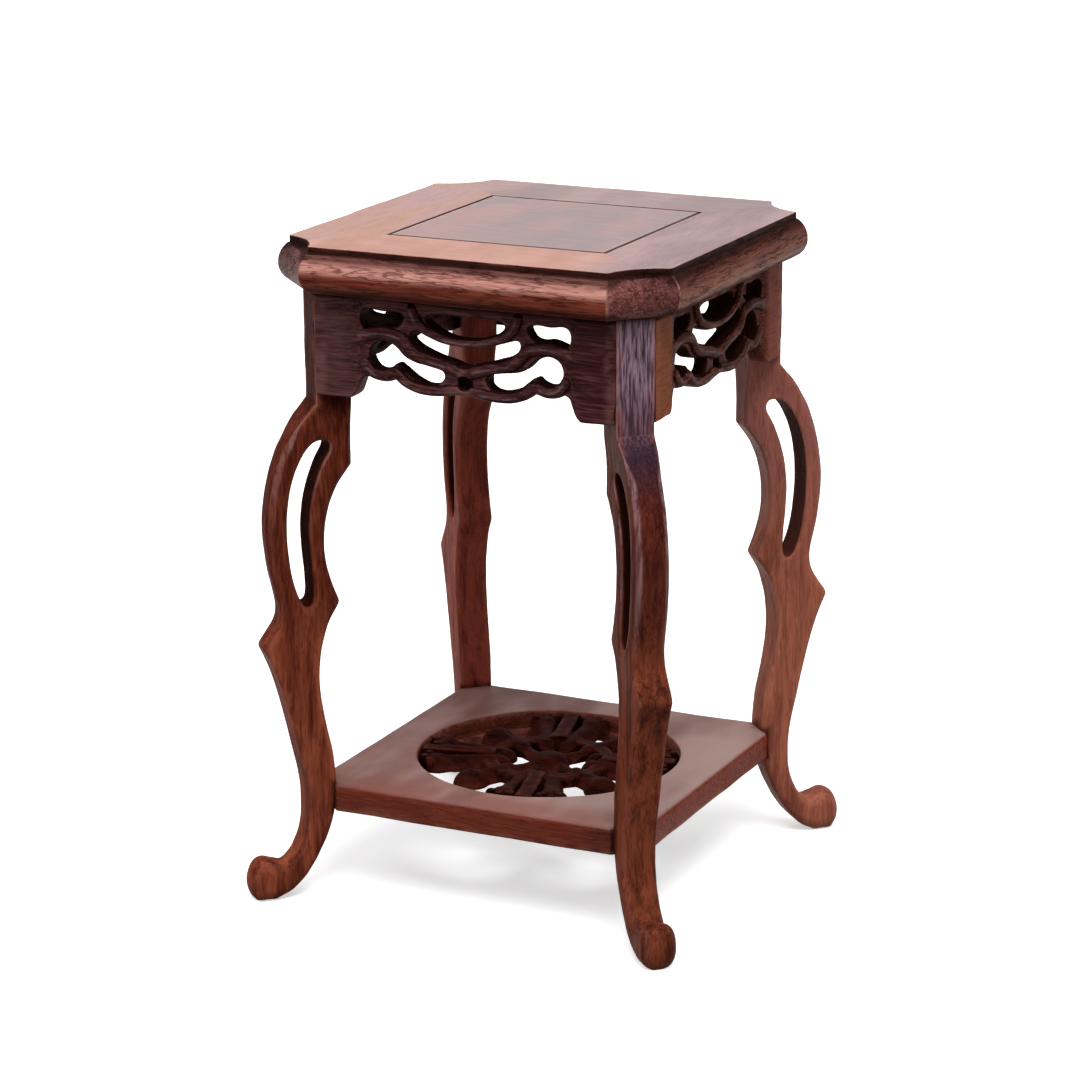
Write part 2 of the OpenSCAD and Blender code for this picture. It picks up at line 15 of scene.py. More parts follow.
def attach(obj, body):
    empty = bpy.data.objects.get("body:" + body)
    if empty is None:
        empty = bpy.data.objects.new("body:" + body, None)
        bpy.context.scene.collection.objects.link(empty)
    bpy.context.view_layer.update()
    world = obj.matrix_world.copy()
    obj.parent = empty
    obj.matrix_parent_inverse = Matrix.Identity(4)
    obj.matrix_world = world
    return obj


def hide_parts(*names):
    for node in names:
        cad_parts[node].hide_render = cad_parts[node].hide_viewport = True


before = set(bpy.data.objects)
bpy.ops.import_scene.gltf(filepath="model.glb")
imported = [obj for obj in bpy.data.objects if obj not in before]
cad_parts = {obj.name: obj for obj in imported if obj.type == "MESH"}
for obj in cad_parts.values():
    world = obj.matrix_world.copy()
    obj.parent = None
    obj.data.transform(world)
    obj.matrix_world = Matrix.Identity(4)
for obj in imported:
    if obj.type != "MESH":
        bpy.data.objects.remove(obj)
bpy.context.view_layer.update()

MM = 0.001
ROOT2 = 2 ** 0.5

# Sizes that the solids share, in millimetres
TOP_Z = 266.0
TOP_HALF = 85.0
TOP_THICKNESS = 18.5
CORNER_CUT = 21.0
LIP_INSET = 4.4
LIP_HEIGHT = 2.8
LIP_SCOOP = 3.2
PANEL_HALF = 46.2
PANEL_THICKNESS = 8.0
PANEL_GROOVE = 0.8
PANEL_TONGUE = 3.0
PANEL_TONGUE_LENGTH = 4.0
FIT = 0.2
TOP_UNDERSIDE = TOP_Z - TOP_THICKNESS
PANEL_BOTTOM = TOP_Z - PANEL_THICKNESS
LIP_BOTTOM = TOP_Z - LIP_HEIGHT
CORNER_PLANE = (2 * TOP_HALF - CORNER_CUT) / ROOT2

# Section of the moulded edge: its widest point, and the two rounds that meet there
EDGE_HEIGHT = TOP_THICKNESS - LIP_HEIGHT
EDGE_RISE = 0.515 * EDGE_HEIGHT
EDGE_LOWER = EDGE_HEIGHT - EDGE_RISE
EDGE_SAG = LIP_INSET - 0.7
EDGE_UPPER = (EDGE_RISE ** 2 + EDGE_SAG ** 2) / (2 * EDGE_SAG)

APRON_HEIGHT = 40.5
APRON_THICKNESS = 8.0
APRON_FACE = TOP_HALF - 10.5
APRON_BOTTOM = TOP_UNDERSIDE - APRON_HEIGHT
RELIEF = 2.0

LEG_THICKNESS = 15.5
LEG_WAIST = 14.2
SHOULDER_Z = APRON_BOTTOM - 4.0
WAIST_RUN = 14.0
LEG_HEAD = APRON_FACE * ROOT2 - LEG_THICKNESS / 2
LEG_HEAD_DEPTH = 14.3
APRON_HALF = (LEG_HEAD - LEG_THICKNESS / 2) / ROOT2
TOE_REACH = 32.0

SHELF_TOP = 47.0
SHELF_THICKNESS = 11.0
SHELF_HALF = TOP_HALF - 13.0
SHELF_SEAT = 93.05
SHELF_ROUND = 2.5
SHELF_UNDER_ROUND = 1.2
ROUND_RADIUS = 53.5
ROUND_THICKNESS = 6.5
LEDGE_WIDTH = 3.5
ROUND_SEAT_Z = SHELF_TOP - ROUND_THICKNESS
ROUND_TURN = 14.0
CARVING_RADIUS = ROUND_RADIUS - 0.3


# Curves

SMOOTH_STEPS = 5


def curve(points, steps, closed=False):
    """A smooth curve through points; an open one leaves out its last point."""
    pts = np.array(points, float)
    n = len(pts)
    out = []
    for i in range(n if closed else n - 1):
        if closed:
            p0, p1, p2, p3 = pts[i - 1], pts[i], pts[(i + 1) % n], pts[(i + 2) % n]
        else:
            p0, p1, p2, p3 = pts[max(i - 1, 0)], pts[i], pts[i + 1], pts[min(i + 2, n - 1)]
        for t in np.arange(steps) / steps:
            out.append(0.5 * (
                2 * p1 + (p2 - p0) * t
                + (2 * p0 - 5 * p1 + 4 * p2 - p3) * t ** 2
                + (3 * p1 - p0 - 3 * p2 + p3) * t ** 3
            ))
    return np.array(out)


def mirrored(points):
    return np.array(points, float) * (-1, 1)


def both_ways(span, side):
    """A closed curve, the same on both sides of the middle, between two heights."""
    bottom, top = span
    loop = [[0, bottom], *side, [0, top], *mirrored(side)[::-1].tolist()]
    return curve(loop, SMOOTH_STEPS, closed=True)


def arc(centre, radius, start, end, steps=12):
    turns = np.radians(np.linspace(start, end, steps + 1))
    across = centre[0] + radius * np.cos(turns)
    return np.stack([across, centre[1] + radius * np.sin(turns)], axis=1)


# Fields of distances

# How far out from the surface a hollow is looked for, and how far in an arris
HOLLOW_REACH = 2.6
ARRIS_REACH = 2.2
# Share of open air, or of wood behind, below which a point counts, and how fast
HOLLOW_FROM = 0.94
HOLLOW_GAIN = 1.4
ARRIS_FROM = 0.95
ARRIS_GAIN = 2.6
# Depth in an opening from which its walls count as hollow and get painted shade
SHADE_DEPTH = 1.6


def axes(low, high, step):
    """Grid coordinates along X, Y and Z, with room round the shape."""
    room = HOLLOW_REACH + step
    x, y, z = [np.arange(a - room, b + room + step, step) for a, b in zip(low, high)]
    return x[:, None, None], y[None, :, None], z[None, None, :]


def gap_squared(start, end, u, v):
    """Squared distance in the plane from a straight segment."""
    (ax, ay), (ex, ey) = start, end - start
    t = np.clip(((u - ax) * ex + (v - ay) * ey) / (ex * ex + ey * ey), 0, 1)
    return (u - ax - t * ex) ** 2 + (v - ay - t * ey) ** 2


def path_distance(points, u, v):
    gaps = [gap_squared(start, end, u, v) for start, end in zip(points[:-1], points[1:])]
    return np.sqrt(np.minimum.reduce(gaps))


def outline_field(points, u, v):
    """Signed distance in the plane from a closed outline, negative inside."""
    nearest = np.full(np.broadcast(u, v).shape, 1e9)
    inside = np.zeros(nearest.shape, bool)
    for start, end in zip(points, np.roll(points, -1, axis=0)):
        (ax, ay), (ex, ey) = start, end - start
        if abs(ex) + abs(ey) < 1e-6:
            continue
        nearest = np.minimum(nearest, gap_squared(start, end, u, v))
        if ey != 0:
            crosses = (v >= min(ay, end[1])) & (v < max(ay, end[1]))
            inside ^= crosses & (u < ax + (v - ay) * ex / ey)
    return np.where(inside, -1.0, 1.0) * np.sqrt(nearest)


def swept(profile, past, height, first, last):
    """Field of a section that runs along an edge, by distance past the edge's widest
    point and height, worked out from a first to a last distance."""
    spacing = 0.1
    reach = np.arange(first, last, spacing)
    table = outline_field(profile, reach[:, None], height.reshape(1, -1))
    place = np.clip((past[:, :, 0] - reach[0]) / spacing, 0, len(reach) - 2)
    index = place.astype(int)
    part = (place - index)[..., None]
    return table[index] * (1 - part) + table[index + 1] * part


def meet(a, b, radius):
    """What is inside both fields, with the arris rounded."""
    a, b = a + radius, b + radius
    return np.hypot(np.maximum(a, 0), np.maximum(b, 0)) + np.minimum(np.maximum(a, b), 0) - radius


def blend(a, b, width):
    """What is inside either field, with a soft fillet between them."""
    share = np.clip(0.5 + 0.5 * (b - a) / width, 0, 1)
    return b + (a - b) * share - width * share * (1 - share)


def ramp(value, start, end):
    """0 up to the start and 1 from the end on, with a smooth rise between them."""
    t = np.clip((value - start) / (end - start), 0, 1)
    return t * t * (3 - 2 * t)


def wobble(x, y, z, depth, size, seed):
    """Gentle unevenness left by hand tools, of about this depth to either side."""
    rng = np.random.default_rng(seed)
    total = 0.0
    waves = 6
    for _ in range(waves):
        turn = rng.normal(size=3)
        turn *= 2 * np.pi / (size * rng.uniform(0.7, 1.8)) / np.linalg.norm(turn)
        total = total + np.sin(turn[0] * x + turn[1] * y + turn[2] * z + rng.uniform(0, 6.28))
    return depth * (total / waves ** 0.5)


def look_up(field, cells):
    """The field between its grid points, at places given in grid cells."""
    top = np.array(field.shape) - 2
    base = np.clip(np.floor(cells).astype(int), 0, top)
    part = np.clip(cells - base, 0, 1)
    out = np.zeros(len(cells))
    for corner in np.ndindex(2, 2, 2):
        weight = np.prod(np.where(corner, part, 1 - part), axis=1)
        i, j, k = (base + corner).T
        out += weight * field[i, j, k]
    return out


def slope(field, cells):
    """Direction in which the field rises most, as a unit vector at each place."""
    nudges = 0.5 * np.eye(3)
    parts = [look_up(field, cells + nudge) - look_up(field, cells - nudge) for nudge in nudges]
    out = np.stack(parts, axis=1)
    return out / np.maximum(np.linalg.norm(out, axis=1, keepdims=True), 1e-9)


def carve(field, grid, step, beside, flatness):
    """Turns a field into points, faces and marks on the points: how far each lies in
    a hollow or next to what stands beside it, where the woods paint shade; how far it
    stands out on an arris, where they paint wear and a highlight; and how far it faces
    up and along the second axis, which places painted light, sheen and highlights."""
    kept = 3 * step
    volume = openvdb.FloatGrid(kept)
    volume.copyFromArray(np.ascontiguousarray(np.clip(field, -kept, kept).astype(np.float32)))
    cells, triangles, quads = volume.convertToPolygons(0.0, flatness)
    cells = cells.astype(float)
    for _ in range(2):
        cells -= slope(field, cells) * (look_up(field, cells) / step)[:, None]
    out = slope(field, cells)
    air = np.minimum(field, beside)
    open_air = look_up(air, cells + out * HOLLOW_REACH / step) / HOLLOW_REACH
    backing = -look_up(field, cells - out * ARRIS_REACH / step) / ARRIS_REACH
    marks = {
        "hollow": np.clip((HOLLOW_FROM - open_air) * HOLLOW_GAIN, 0, 1),
        "arris": np.clip((ARRIS_FROM - backing) * ARRIS_GAIN, 0, 1),
        "upward": out[:, 2],
        "sideways": abs(out[:, 1]),
    }
    low = np.array([g.ravel()[0] for g in grid])
    return low + cells * step, quads.tolist() + triangles.tolist(), marks


# Leg, in its own plane: distance out from the head's face, and height

LEG_OUTER = [
    (0, 203), (8.2, 193.6), (14.3, 183.4), (18.6, 169.5), (20.3, 155), (19.4, 141), (17.1, 129),
    (15.4, 120.4), (16.4, 114), (21.3, 106.2), (21.9, 103.8),
]
LEG_OUTER_LOWER = [
    (21.9, 103.8), (17.6, 93.5), (13.4, 79), (9.4, 62), (6.5, 48), (6.1, 35.5), (7.6, 26.5),
    (10.8, 19.4),
]
LEG_TOE = [
    (10.8, 19.4), (15.4, 15), (19.6, 16), (24.4, 17.2), (29.2, 14.6), (TOE_REACH, 9), (31, 3.6),
    (27.2, 0),
]
LEG_INNER_LOWER = [
    (19.6, 0), (14, 2.8), (8.8, 7.4), (4.4, 13.4), (0.4, 20.4), (-3.1, 28.6), (-5.2, 37.6),
    (-5.7, 48), (-4.8, 58.5), (-2.9, 68.5), (-0.9, 78.5), (0.3, 90.5), (-0.6, 103),
    (-3.6, 113.6), (-8.2, 121.2), (-8.3, 123.8),
]
LEG_INNER = [
    (-8.3, 123.8), (-5.4, 132), (-3.5, 141), (-3.3, 151), (-4.9, 160.5), (-8.2, 169), (-14.3, 177.6),
]
LEG_SLOT = [
    (-3.8, 188), (2.2, 186.4), (7.6, 178.2), (11, 167), (12.2, 153.5), (11.5, 140), (9.5, 129.5),
    (6.6, 122.6), (3.8, 121.6), (2.4, 124.8), (2.4, 132), (3.1, 141), (3.7, 153), (2.1, 166),
    (-1.7, 177.2), (-5.4, 184.4),
]
# Rounding of the leg's arrises, and what is added to it in places
LEG_ROUND = 0.7
NECK_ROUND = 0.5
STRAP_ROUND = 1.4
OUTER_ROUND = 2.2
FOOT_ROUND = 1.9
TOE_ROUND = 2.6
SLOT_ROUND = 1.7


def leg_form(step=0.55):
    """A leg with its diagonal along +X."""
    low = (LEG_HEAD - LEG_HEAD_DEPTH, -LEG_THICKNESS / 2, 0)
    high = (LEG_HEAD + TOE_REACH, LEG_THICKNESS / 2, TOP_UNDERSIDE)
    x, y, z = grid = axes(low, high, step)
    steps = 6
    outline = np.concatenate([
        [(0, TOP_UNDERSIDE)], curve(LEG_OUTER, steps), curve(LEG_OUTER_LOWER, steps),
        curve(LEG_TOE, steps), [LEG_TOE[-1]], curve(LEG_INNER_LOWER, steps),
        curve(LEG_INNER, steps), [LEG_INNER[-1]], [(-LEG_HEAD_DEPTH, TOP_UNDERSIDE)],
    ]) + (LEG_HEAD, 0)
    slot = curve(LEG_SLOT, steps, closed=True) + (LEG_HEAD, 0)
    side = outline_field(outline, x, z)
    cut = outline_field(slot, x, z)

    half = (LEG_WAIST + (LEG_THICKNESS - LEG_WAIST) * ramp(z, SHOULDER_Z - WAIST_RUN, SHOULDER_Z)) / 2
    toe_centre = LEG_HEAD + TOE_REACH - LEG_WAIST / 2
    breadth = np.where(x > toe_centre, np.hypot(x - toe_centre, y), np.abs(y)) - half
    neck = 1 - ramp(z, 198, 204)
    strap = ramp(z, 108, 126) * (1 - ramp(z, 186, 202))
    outer = ramp(x, LEG_HEAD + 5, LEG_HEAD + 11)
    foot = 1 - ramp(z, 18, 62)
    toe = ramp(x, LEG_HEAD + 7, LEG_HEAD + 24) * (1 - ramp(z, 22, 30))
    rounding = (
        LEG_ROUND + NECK_ROUND * neck + (STRAP_ROUND + OUTER_ROUND * outer) * strap
        + FOOT_ROUND * foot + TOE_ROUND * toe
    )
    body = meet(side, breadth, rounding)
    body = meet(body, -cut, SLOT_ROUND)
    body = body + wobble(x, y, z, depth=0.16, size=22, seed=3)
    body = body + wobble(x, y, z * 0.4, depth=0.05, size=5, seed=4)
    body = np.maximum(body, z - TOP_UNDERSIDE)
    body = np.maximum(body, -z)
    shelf_middle = SHELF_TOP - SHELF_THICKNESS / 2
    shelf = np.maximum(x - SHELF_SEAT, np.abs(z - shelf_middle) - SHELF_THICKNESS / 2)
    shade = np.maximum(cut, np.abs(y) - LEG_WAIST / 2 + SHADE_DEPTH)
    return body, grid, step, np.minimum(np.minimum(TOP_UNDERSIDE - z, shelf), shade)


# Apron, drawn as the front one: along X, depth towards -Y, height above its blocks

APRON_EDGE = [(48.5, 0), (46.3, 2), (44.8, 5.4), (43.6, 8), (41.4, 9)]
APRON_SMALL_LOBE = [(41.4, 9), (38, 7.7), (33.6, 7.3), (29.6, 8.4)]
APRON_LARGE_LOBE = [(29.6, 8.4), (25, 5.6), (19.4, 4.1), (13, 3.8), (6.6, 4.6), (0, 5.4)]
CLOUD_CURL = [
    (29.4, 14.8), (31.6, 13.2), (35, 12), (38.6, 13.2), (40.6, 17.2), (39, 21.4), (34.6, 23.2),
    (29.8, 21.4), (25.6, 17.6), (20.6, 15.6), (14.6, 15), (10.4, 13.9), (9, 11.4), (11.4, 8.6),
    (16.4, 7.9), (22, 9.8), (26.4, 12.8),
]
SIDE_OPENING = [
    (26.2, 33.6), (30, 34.9), (35.4, 34.6), (41.4, 34.9), (43.8, 33.2), (43.8, 29.6),
    (42.4, 27.6), (39.6, 28.4), (35.4, 29.4), (31.2, 28.9), (28, 30),
]
MIDDLE_OPENING = [(6.6, 27.5), (12.6, 29.6), (16.4, 32.8), (14.2, 35), (7.4, 35.4)]
MIDDLE_SPAN = (26.9, 35.4)
RING_OPENING = [
    (5.8, 17.9), (12.4, 19.5), (18.6, 21.7), (22.6, 24.8), (21.8, 28), (15.2, 26.4), (8.4, 24.4),
]
RING_SPAN = (16.4, 23.8)
UPPER_BAND = [
    (0, 13.2), (8, 15.9), (16, 17.6), (21.6, 20), (25.6, 24.4), (30.4, 26), (36, 26.3),
    (41.6, 25.4), (47.6, 23.6),
]
LOWER_BAND = [
    (0, 7), (7, 6.2), (13.6, 5.6), (19.6, 6), (25, 7.8), (29.4, 11.2), (34.2, 9.8),
    (38.6, 10.6), (42, 14),
]
RING_BAND = [(0, 25.5), (8, 26.2), (14.8, 28.2), (19.8, 31.6), (22.4, 36.6)]
# Each raised band and half its width
BANDS = ((UPPER_BAND, 2.3), (LOWER_BAND, 2.2), (RING_BAND, 1.9))
OPENING_STEPS = 4
KNOT_HEIGHT = 10.0
KNOT_RADIUS = 2.8
KNOT_DEPTH = 5.0
# Half the length that is carved, and half the whole length as drawn
CARVED_HALF = 48.0
DRAWN_HALF = 63.5
APRON_STRETCH = np.array([APRON_HALF / DRAWN_HALF, 1])
APRON_ROUND = 0.8
KNOT_ROUND = 0.6


def apron_form(step=0.45):
    low = (-APRON_HALF, -APRON_FACE, 0)
    high = (APRON_HALF, -APRON_FACE + APRON_THICKNESS, APRON_HEIGHT)
    x, y, h = grid = axes(low, high, step)
    parts = (APRON_EDGE, APRON_SMALL_LOBE, APRON_LARGE_LOBE)
    lower = np.concatenate([curve(part, OPENING_STEPS) for part in parts])
    room = 6
    face = np.concatenate([
        [(DRAWN_HALF + room, APRON_HEIGHT + room), (DRAWN_HALF + room, 0)], lower,
        [APRON_LARGE_LOBE[-1]], mirrored(lower)[::-1],
        [(-DRAWN_HALF - room, 0), (-DRAWN_HALF - room, APRON_HEIGHT + room)],
    ]) * APRON_STRETCH
    edge = outline_field(face, x, h)
    side = np.abs(x)
    openings = (
        (curve(CLOUD_CURL, OPENING_STEPS, closed=True), side),
        (curve(SIDE_OPENING, OPENING_STEPS, closed=True), side),
        (both_ways(MIDDLE_SPAN, MIDDLE_OPENING), x),
        (both_ways(RING_SPAN, RING_OPENING), x),
    )
    fields = [outline_field(loop * APRON_STRETCH, across, h) for loop, across in openings]
    holes = np.minimum.reduce(fields)

    ground = RELIEF * (1 - ramp(side, CARVED_HALF - 9, CARVED_HALF + 1.5))
    raised = np.zeros(np.broadcast(x, h).shape)
    for path, width in BANDS:
        line = np.concatenate([curve(path, SMOOTH_STEPS), [path[-1]]]) * APRON_STRETCH
        near = path_distance(line, side, h) / width
        dome = RELIEF * np.sqrt(np.clip(1 - near ** 2, 0, 1))
        raised = np.where(near < 1, dome, raised)
    raised = np.minimum(raised, ground)
    depth = y + APRON_FACE
    slab = np.maximum(ground - raised - depth, depth - APRON_THICKNESS)
    body = meet(edge, slab, APRON_ROUND)
    body = meet(body, -holes, APRON_ROUND)
    knot = np.hypot(x, h - KNOT_HEIGHT) - KNOT_RADIUS
    body = meet(body, -np.maximum(knot, depth - KNOT_DEPTH), KNOT_ROUND)
    body = body + wobble(x, y, h, depth=0.12, size=9, seed=11)
    cheek = (side + depth - APRON_HALF) / ROOT2
    body = np.maximum(body, cheek)
    body = np.maximum(body, h - APRON_HEIGHT)
    shade = np.maximum(np.minimum(holes, knot), SHADE_DEPTH - depth)
    leg = np.maximum(-cheek, -depth)
    return body, grid, step, np.minimum(np.minimum(APRON_HEIGHT - h, shade), leg)


def apron_crest(points):
    """1 along the top of each carved band, where a painted highlight stands for the light catching it."""
    side, depth, height = abs(points[:, 0]), points[:, 1] + APRON_FACE, points[:, 2]
    near = [path_distance(curve(path, SMOOTH_STEPS) * APRON_STRETCH, side, height) for path, _ in BANDS]
    crest_half = 0.36
    line = np.clip(1.4 - np.minimum.reduce(near) / crest_half, 0, 1)
    return np.where(depth < RELIEF + 0.3, line, 0)


# Top frame and panel, drawn as the front rail

MITRE_GAP = 0.03


def edge_profile():
    """Section of the moulded edge: distance past the widest point, and height."""
    deep = -70
    return np.concatenate([
        [(deep, 0)],
        arc((-EDGE_LOWER, EDGE_LOWER), EDGE_LOWER, -90, 0),
        arc((-EDGE_UPPER, EDGE_LOWER), EDGE_UPPER, 0, np.degrees(np.arcsin(EDGE_RISE / EDGE_UPPER))),
        [(-LIP_INSET, EDGE_HEIGHT), (-LIP_INSET, TOP_THICKNESS), (deep, TOP_THICKNESS)],
    ])


def lip_scoop(x, out):
    """Distance from the round that hollows the lip back at each canted corner."""
    plain_end = 1.0
    half = (CORNER_CUT * ROOT2 - 2 * LIP_INSET * np.tan(np.radians(22.5))) / 2 - plain_end
    radius = (half ** 2 + LIP_SCOOP ** 2) / (2 * LIP_SCOOP)
    centre = (CORNER_PLANE - LIP_INSET - LIP_SCOOP + radius) / ROOT2
    return np.hypot(np.abs(x) - centre, out - centre) - radius


def rail_form(step=0.5):
    low = (-TOP_HALF, -TOP_HALF, TOP_UNDERSIDE)
    high = (TOP_HALF, -PANEL_HALF, TOP_Z)
    x, y, z = grid = axes(low, high, step)
    out = -y
    corner = (np.abs(x) + out) / ROOT2 - CORNER_PLANE
    past = meet(out - TOP_HALF, corner, 0.5)
    body = swept(edge_profile(), past, z - TOP_UNDERSIDE, -42, 6)
    scoop = lip_scoop(x, out)
    body = meet(body, -np.maximum(scoop, LIP_BOTTOM - z), 0.3)
    from_lip = np.maximum(past + LIP_INSET, -scoop)
    lip_shade = np.maximum(np.abs(from_lip - HOLLOW_REACH) - 0.9, z - TOP_Z)

    # The unevenness dies out towards the corners, so that the mitres meet
    uneven = wobble(x, y * 0.7, z * 0.7, depth=0.05, size=14, seed=21)
    body = body + uneven * ramp(TOP_HALF - 8 - np.abs(x), 0, 20)
    body = meet(body, PANEL_HALF - out, 0.25)
    groove_top = PANEL_BOTTOM + PANEL_TONGUE + FIT
    groove = np.maximum(z - groove_top, PANEL_BOTTOM - z)
    groove = np.maximum(groove, out - PANEL_HALF - PANEL_TONGUE_LENGTH - FIT)
    body = np.maximum(body, -groove)
    panel = np.maximum(out - PANEL_HALF + PANEL_GROOVE, np.maximum(z - TOP_Z, PANEL_BOTTOM - z))
    return np.maximum(body, z - TOP_Z), grid, step, np.minimum(panel, lip_shade)


def panel_form(step=0.7):
    half = PANEL_HALF - PANEL_GROOVE
    reach = PANEL_HALF + PANEL_TONGUE_LENGTH
    low = (-reach, -reach, PANEL_BOTTOM)
    high = (reach, reach, TOP_Z)
    x, y, z = grid = axes(low, high, step)
    sides = meet(np.abs(x) - half, np.abs(y) - half, 0.3)
    body = meet(sides, np.abs(z - TOP_Z + PANEL_THICKNESS / 2) - PANEL_THICKNESS / 2, 0.25)
    body = body + wobble(x, y, z, depth=0.05, size=30, seed=31)
    tongue = np.maximum(np.maximum(np.abs(x), np.abs(y)) - reach, z - PANEL_BOTTOM - PANEL_TONGUE)
    body = np.minimum(body, np.maximum(tongue, PANEL_BOTTOM - z))
    frame_wood = np.maximum(PANEL_HALF - np.maximum(np.abs(x), np.abs(y)), z - TOP_Z)
    return np.maximum(body, z - TOP_Z), grid, step, frame_wood


# Shelf

def shelf_profile():
    """Section of the shelf's edge: distance past its widest point, and height."""
    deep = -SHELF_HALF
    upper = SHELF_THICKNESS - SHELF_ROUND
    return np.concatenate([
        [(deep, 0)],
        arc((-SHELF_UNDER_ROUND, SHELF_UNDER_ROUND), SHELF_UNDER_ROUND, -90, 0, 6),
        arc((-SHELF_ROUND, upper), SHELF_ROUND, 0, 90, 8),
        [(deep, SHELF_THICKNESS)],
    ])


def shelf_form(step=0.7):
    low = (-SHELF_HALF, -SHELF_HALF, SHELF_TOP - SHELF_THICKNESS)
    high = (SHELF_HALF, SHELF_HALF, SHELF_TOP)
    x, y, z = grid = axes(low, high, step)
    square = meet(np.abs(x) - SHELF_HALF, np.abs(y) - SHELF_HALF, 0)
    body = swept(shelf_profile(), square, z - SHELF_TOP + SHELF_THICKNESS, -SHELF_HALF, 8)
    body = body + wobble(x, y, z, depth=0.1, size=26, seed=41)
    corner = (np.abs(x) + np.abs(y)) / ROOT2 - SHELF_SEAT
    body = meet(body, corner, 0.3)
    radius = np.hypot(x, y)
    seat = np.maximum(radius - ROUND_RADIUS, ROUND_SEAT_Z - z)
    body = meet(body, -np.minimum(seat, radius - ROUND_RADIUS + LEDGE_WIDTH), 0.9)
    legs = np.maximum(-corner, np.abs(np.abs(x) - np.abs(y)) / ROOT2 - LEG_WAIST / 2)
    return body, grid, step, legs


# Carved round: arms that end in pairs of lobes, bulbs between them, a ring and a boss

ARM_HALF = 3.4
LOBE_RADIUS = 7.0
KNUCKLE_RADIUS = 2.7
KNUCKLE_OUT = 5.2
KNUCKLE_SPREAD = 52
LOBE_OUT = CARVING_RADIUS - KNUCKLE_OUT - KNUCKLE_RADIUS
LOBE_TURN = np.degrees(np.arcsin((ARM_HALF + LOBE_RADIUS - 0.8) / LOBE_OUT))
BULB_OUT = LOBE_OUT - 7.6
BULB_RADIUS = 7.4
NECK_START = 20
RING_RADIUS = 23.8
RING_HALF = 3.2
BOSS_RADIUS = 8.6


def turned(x, y, angle):
    """Distances along and across a direction in plan."""
    turn = np.radians(angle)
    return x * np.cos(turn) + y * np.sin(turn), y * np.cos(turn) - x * np.sin(turn)


def tube(x, y, z, start, end, angle, height, radius):
    """Distance from a level round bar that points outwards at an angle."""
    along, across = turned(x, y, angle)
    beyond = along - np.clip(along, start, end)
    return np.sqrt(beyond ** 2 + across ** 2 + (z - height) ** 2) - radius


def flat_ball(x, y, z, squeeze, radius):
    """A ball at the origin, squeezed in height."""
    return np.sqrt(x ** 2 + y ** 2 + (squeeze * z) ** 2) - radius


def cloud_lobe(x, y, z, top, angle):
    """A lobe on its neck, with three small knuckles along its outer side."""
    neck = tube(x, y, z, NECK_START, LOBE_OUT, angle, top - 6.1, 5.4)
    lobe = tube(x, y, z, LOBE_OUT, LOBE_OUT, angle, top - LOBE_RADIUS + 0.2, LOBE_RADIUS)
    for spread in (-KNUCKLE_SPREAD, 0, KNUCKLE_SPREAD):
        lobe_way, knuckle_way = np.radians(angle), np.radians(angle + spread)
        kx = LOBE_OUT * np.cos(lobe_way) + KNUCKLE_OUT * np.cos(knuckle_way)
        ky = LOBE_OUT * np.sin(lobe_way) + KNUCKLE_OUT * np.sin(knuckle_way)
        knuckle = flat_ball(x - kx, y - ky, z - top + 3.4, 0.7, KNUCKLE_RADIUS)
        lobe = blend(lobe, knuckle, 0.8)
    return blend(neck, lobe, 1.0)


def cloud_bulb(x, y, z, top, angle):
    """A bulb on its neck, with a spoke in to the boss."""
    neck = tube(x, y, z, NECK_START, BULB_OUT, angle, top - 5.6, 4.9)
    bulb = tube(x, y, z, BULB_OUT, BULB_OUT, angle, top - 7.2, BULB_RADIUS)
    spoke = tube(x, y, z, 0, 24, angle, top - 5.4, 3.2)
    return blend(blend(neck, bulb, 1.2), spoke, 1.0)


def medallion_form(step=0.5):
    low = (-CARVING_RADIUS, -CARVING_RADIUS, ROUND_SEAT_Z)
    high = (CARVING_RADIUS, CARVING_RADIUS, SHELF_TOP)
    x, y, z = grid = axes(low, high, step)
    top = SHELF_TOP - 0.3
    body = np.abs(np.hypot(x, y) - RING_RADIUS) - RING_HALF
    body = meet(body, z - (top - 1.4), 1.2)
    body = blend(body, flat_ball(x, y, z - top + 5, 1.6, BOSS_RADIUS), 1.0)
    for quarter in range(4):
        arm = ROUND_TURN + 90 * quarter
        along, across = turned(x, y, arm)
        bar = meet(np.abs(across) - ARM_HALF, z - top, 0.8)
        bar = np.maximum(bar, np.maximum(22 - along, along - CARVING_RADIUS + 0.8))
        body = np.minimum(body, bar)
        for hand in (-1, 1):
            body = blend(body, cloud_lobe(x, y, z, top, arm + hand * LOBE_TURN), 0.7)
        body = blend(body, cloud_bulb(x, y, z, top, arm + 45), 0.7)
    body = body + wobble(x, y, z, depth=0.14, size=7, seed=51)
    body = np.maximum(body, z - top)
    body = np.maximum(body, ROUND_SEAT_Z - z)
    rim = np.maximum(ROUND_RADIUS - np.hypot(x, y), z - SHELF_TOP)
    return np.maximum(body, np.hypot(x, y) - CARVING_RADIUS), grid, step, rim


# Wood

# What pores and cracks multiply a tone by, what hollows multiply it by as painted shade, and the painted
# shade of the panel's groove
PORE_TINT = (0.30, 0.22, 0.20)
HOLLOW_SHADE_TINT = (0.16, 0.12, 0.12)
GROOVE_SHADE_TONE = (0.060, 0.026, 0.019)
PATCH_SHARE = 0.4
BUMP_DEPTH = 0.18


def connect(links, socket, value):
    """Feeds a socket from another one, or gives it a value; a colour is a triple."""
    if isinstance(value, bpy.types.NodeSocket):
        links.new(value, socket)
    elif socket.type == "RGBA":
        socket.default_value = (*value, 1.0)
    else:
        socket.default_value = value


def linked(nodes, links, kind, inputs=(), **settings):
    """A new shader node, with what feeds its inputs and with its settings."""
    node = nodes.new(kind)
    for key, value in settings.items():
        setattr(node, key, value)
    for key, value in dict(inputs).items():
        connect(links, node.inputs[key], value)
    return node


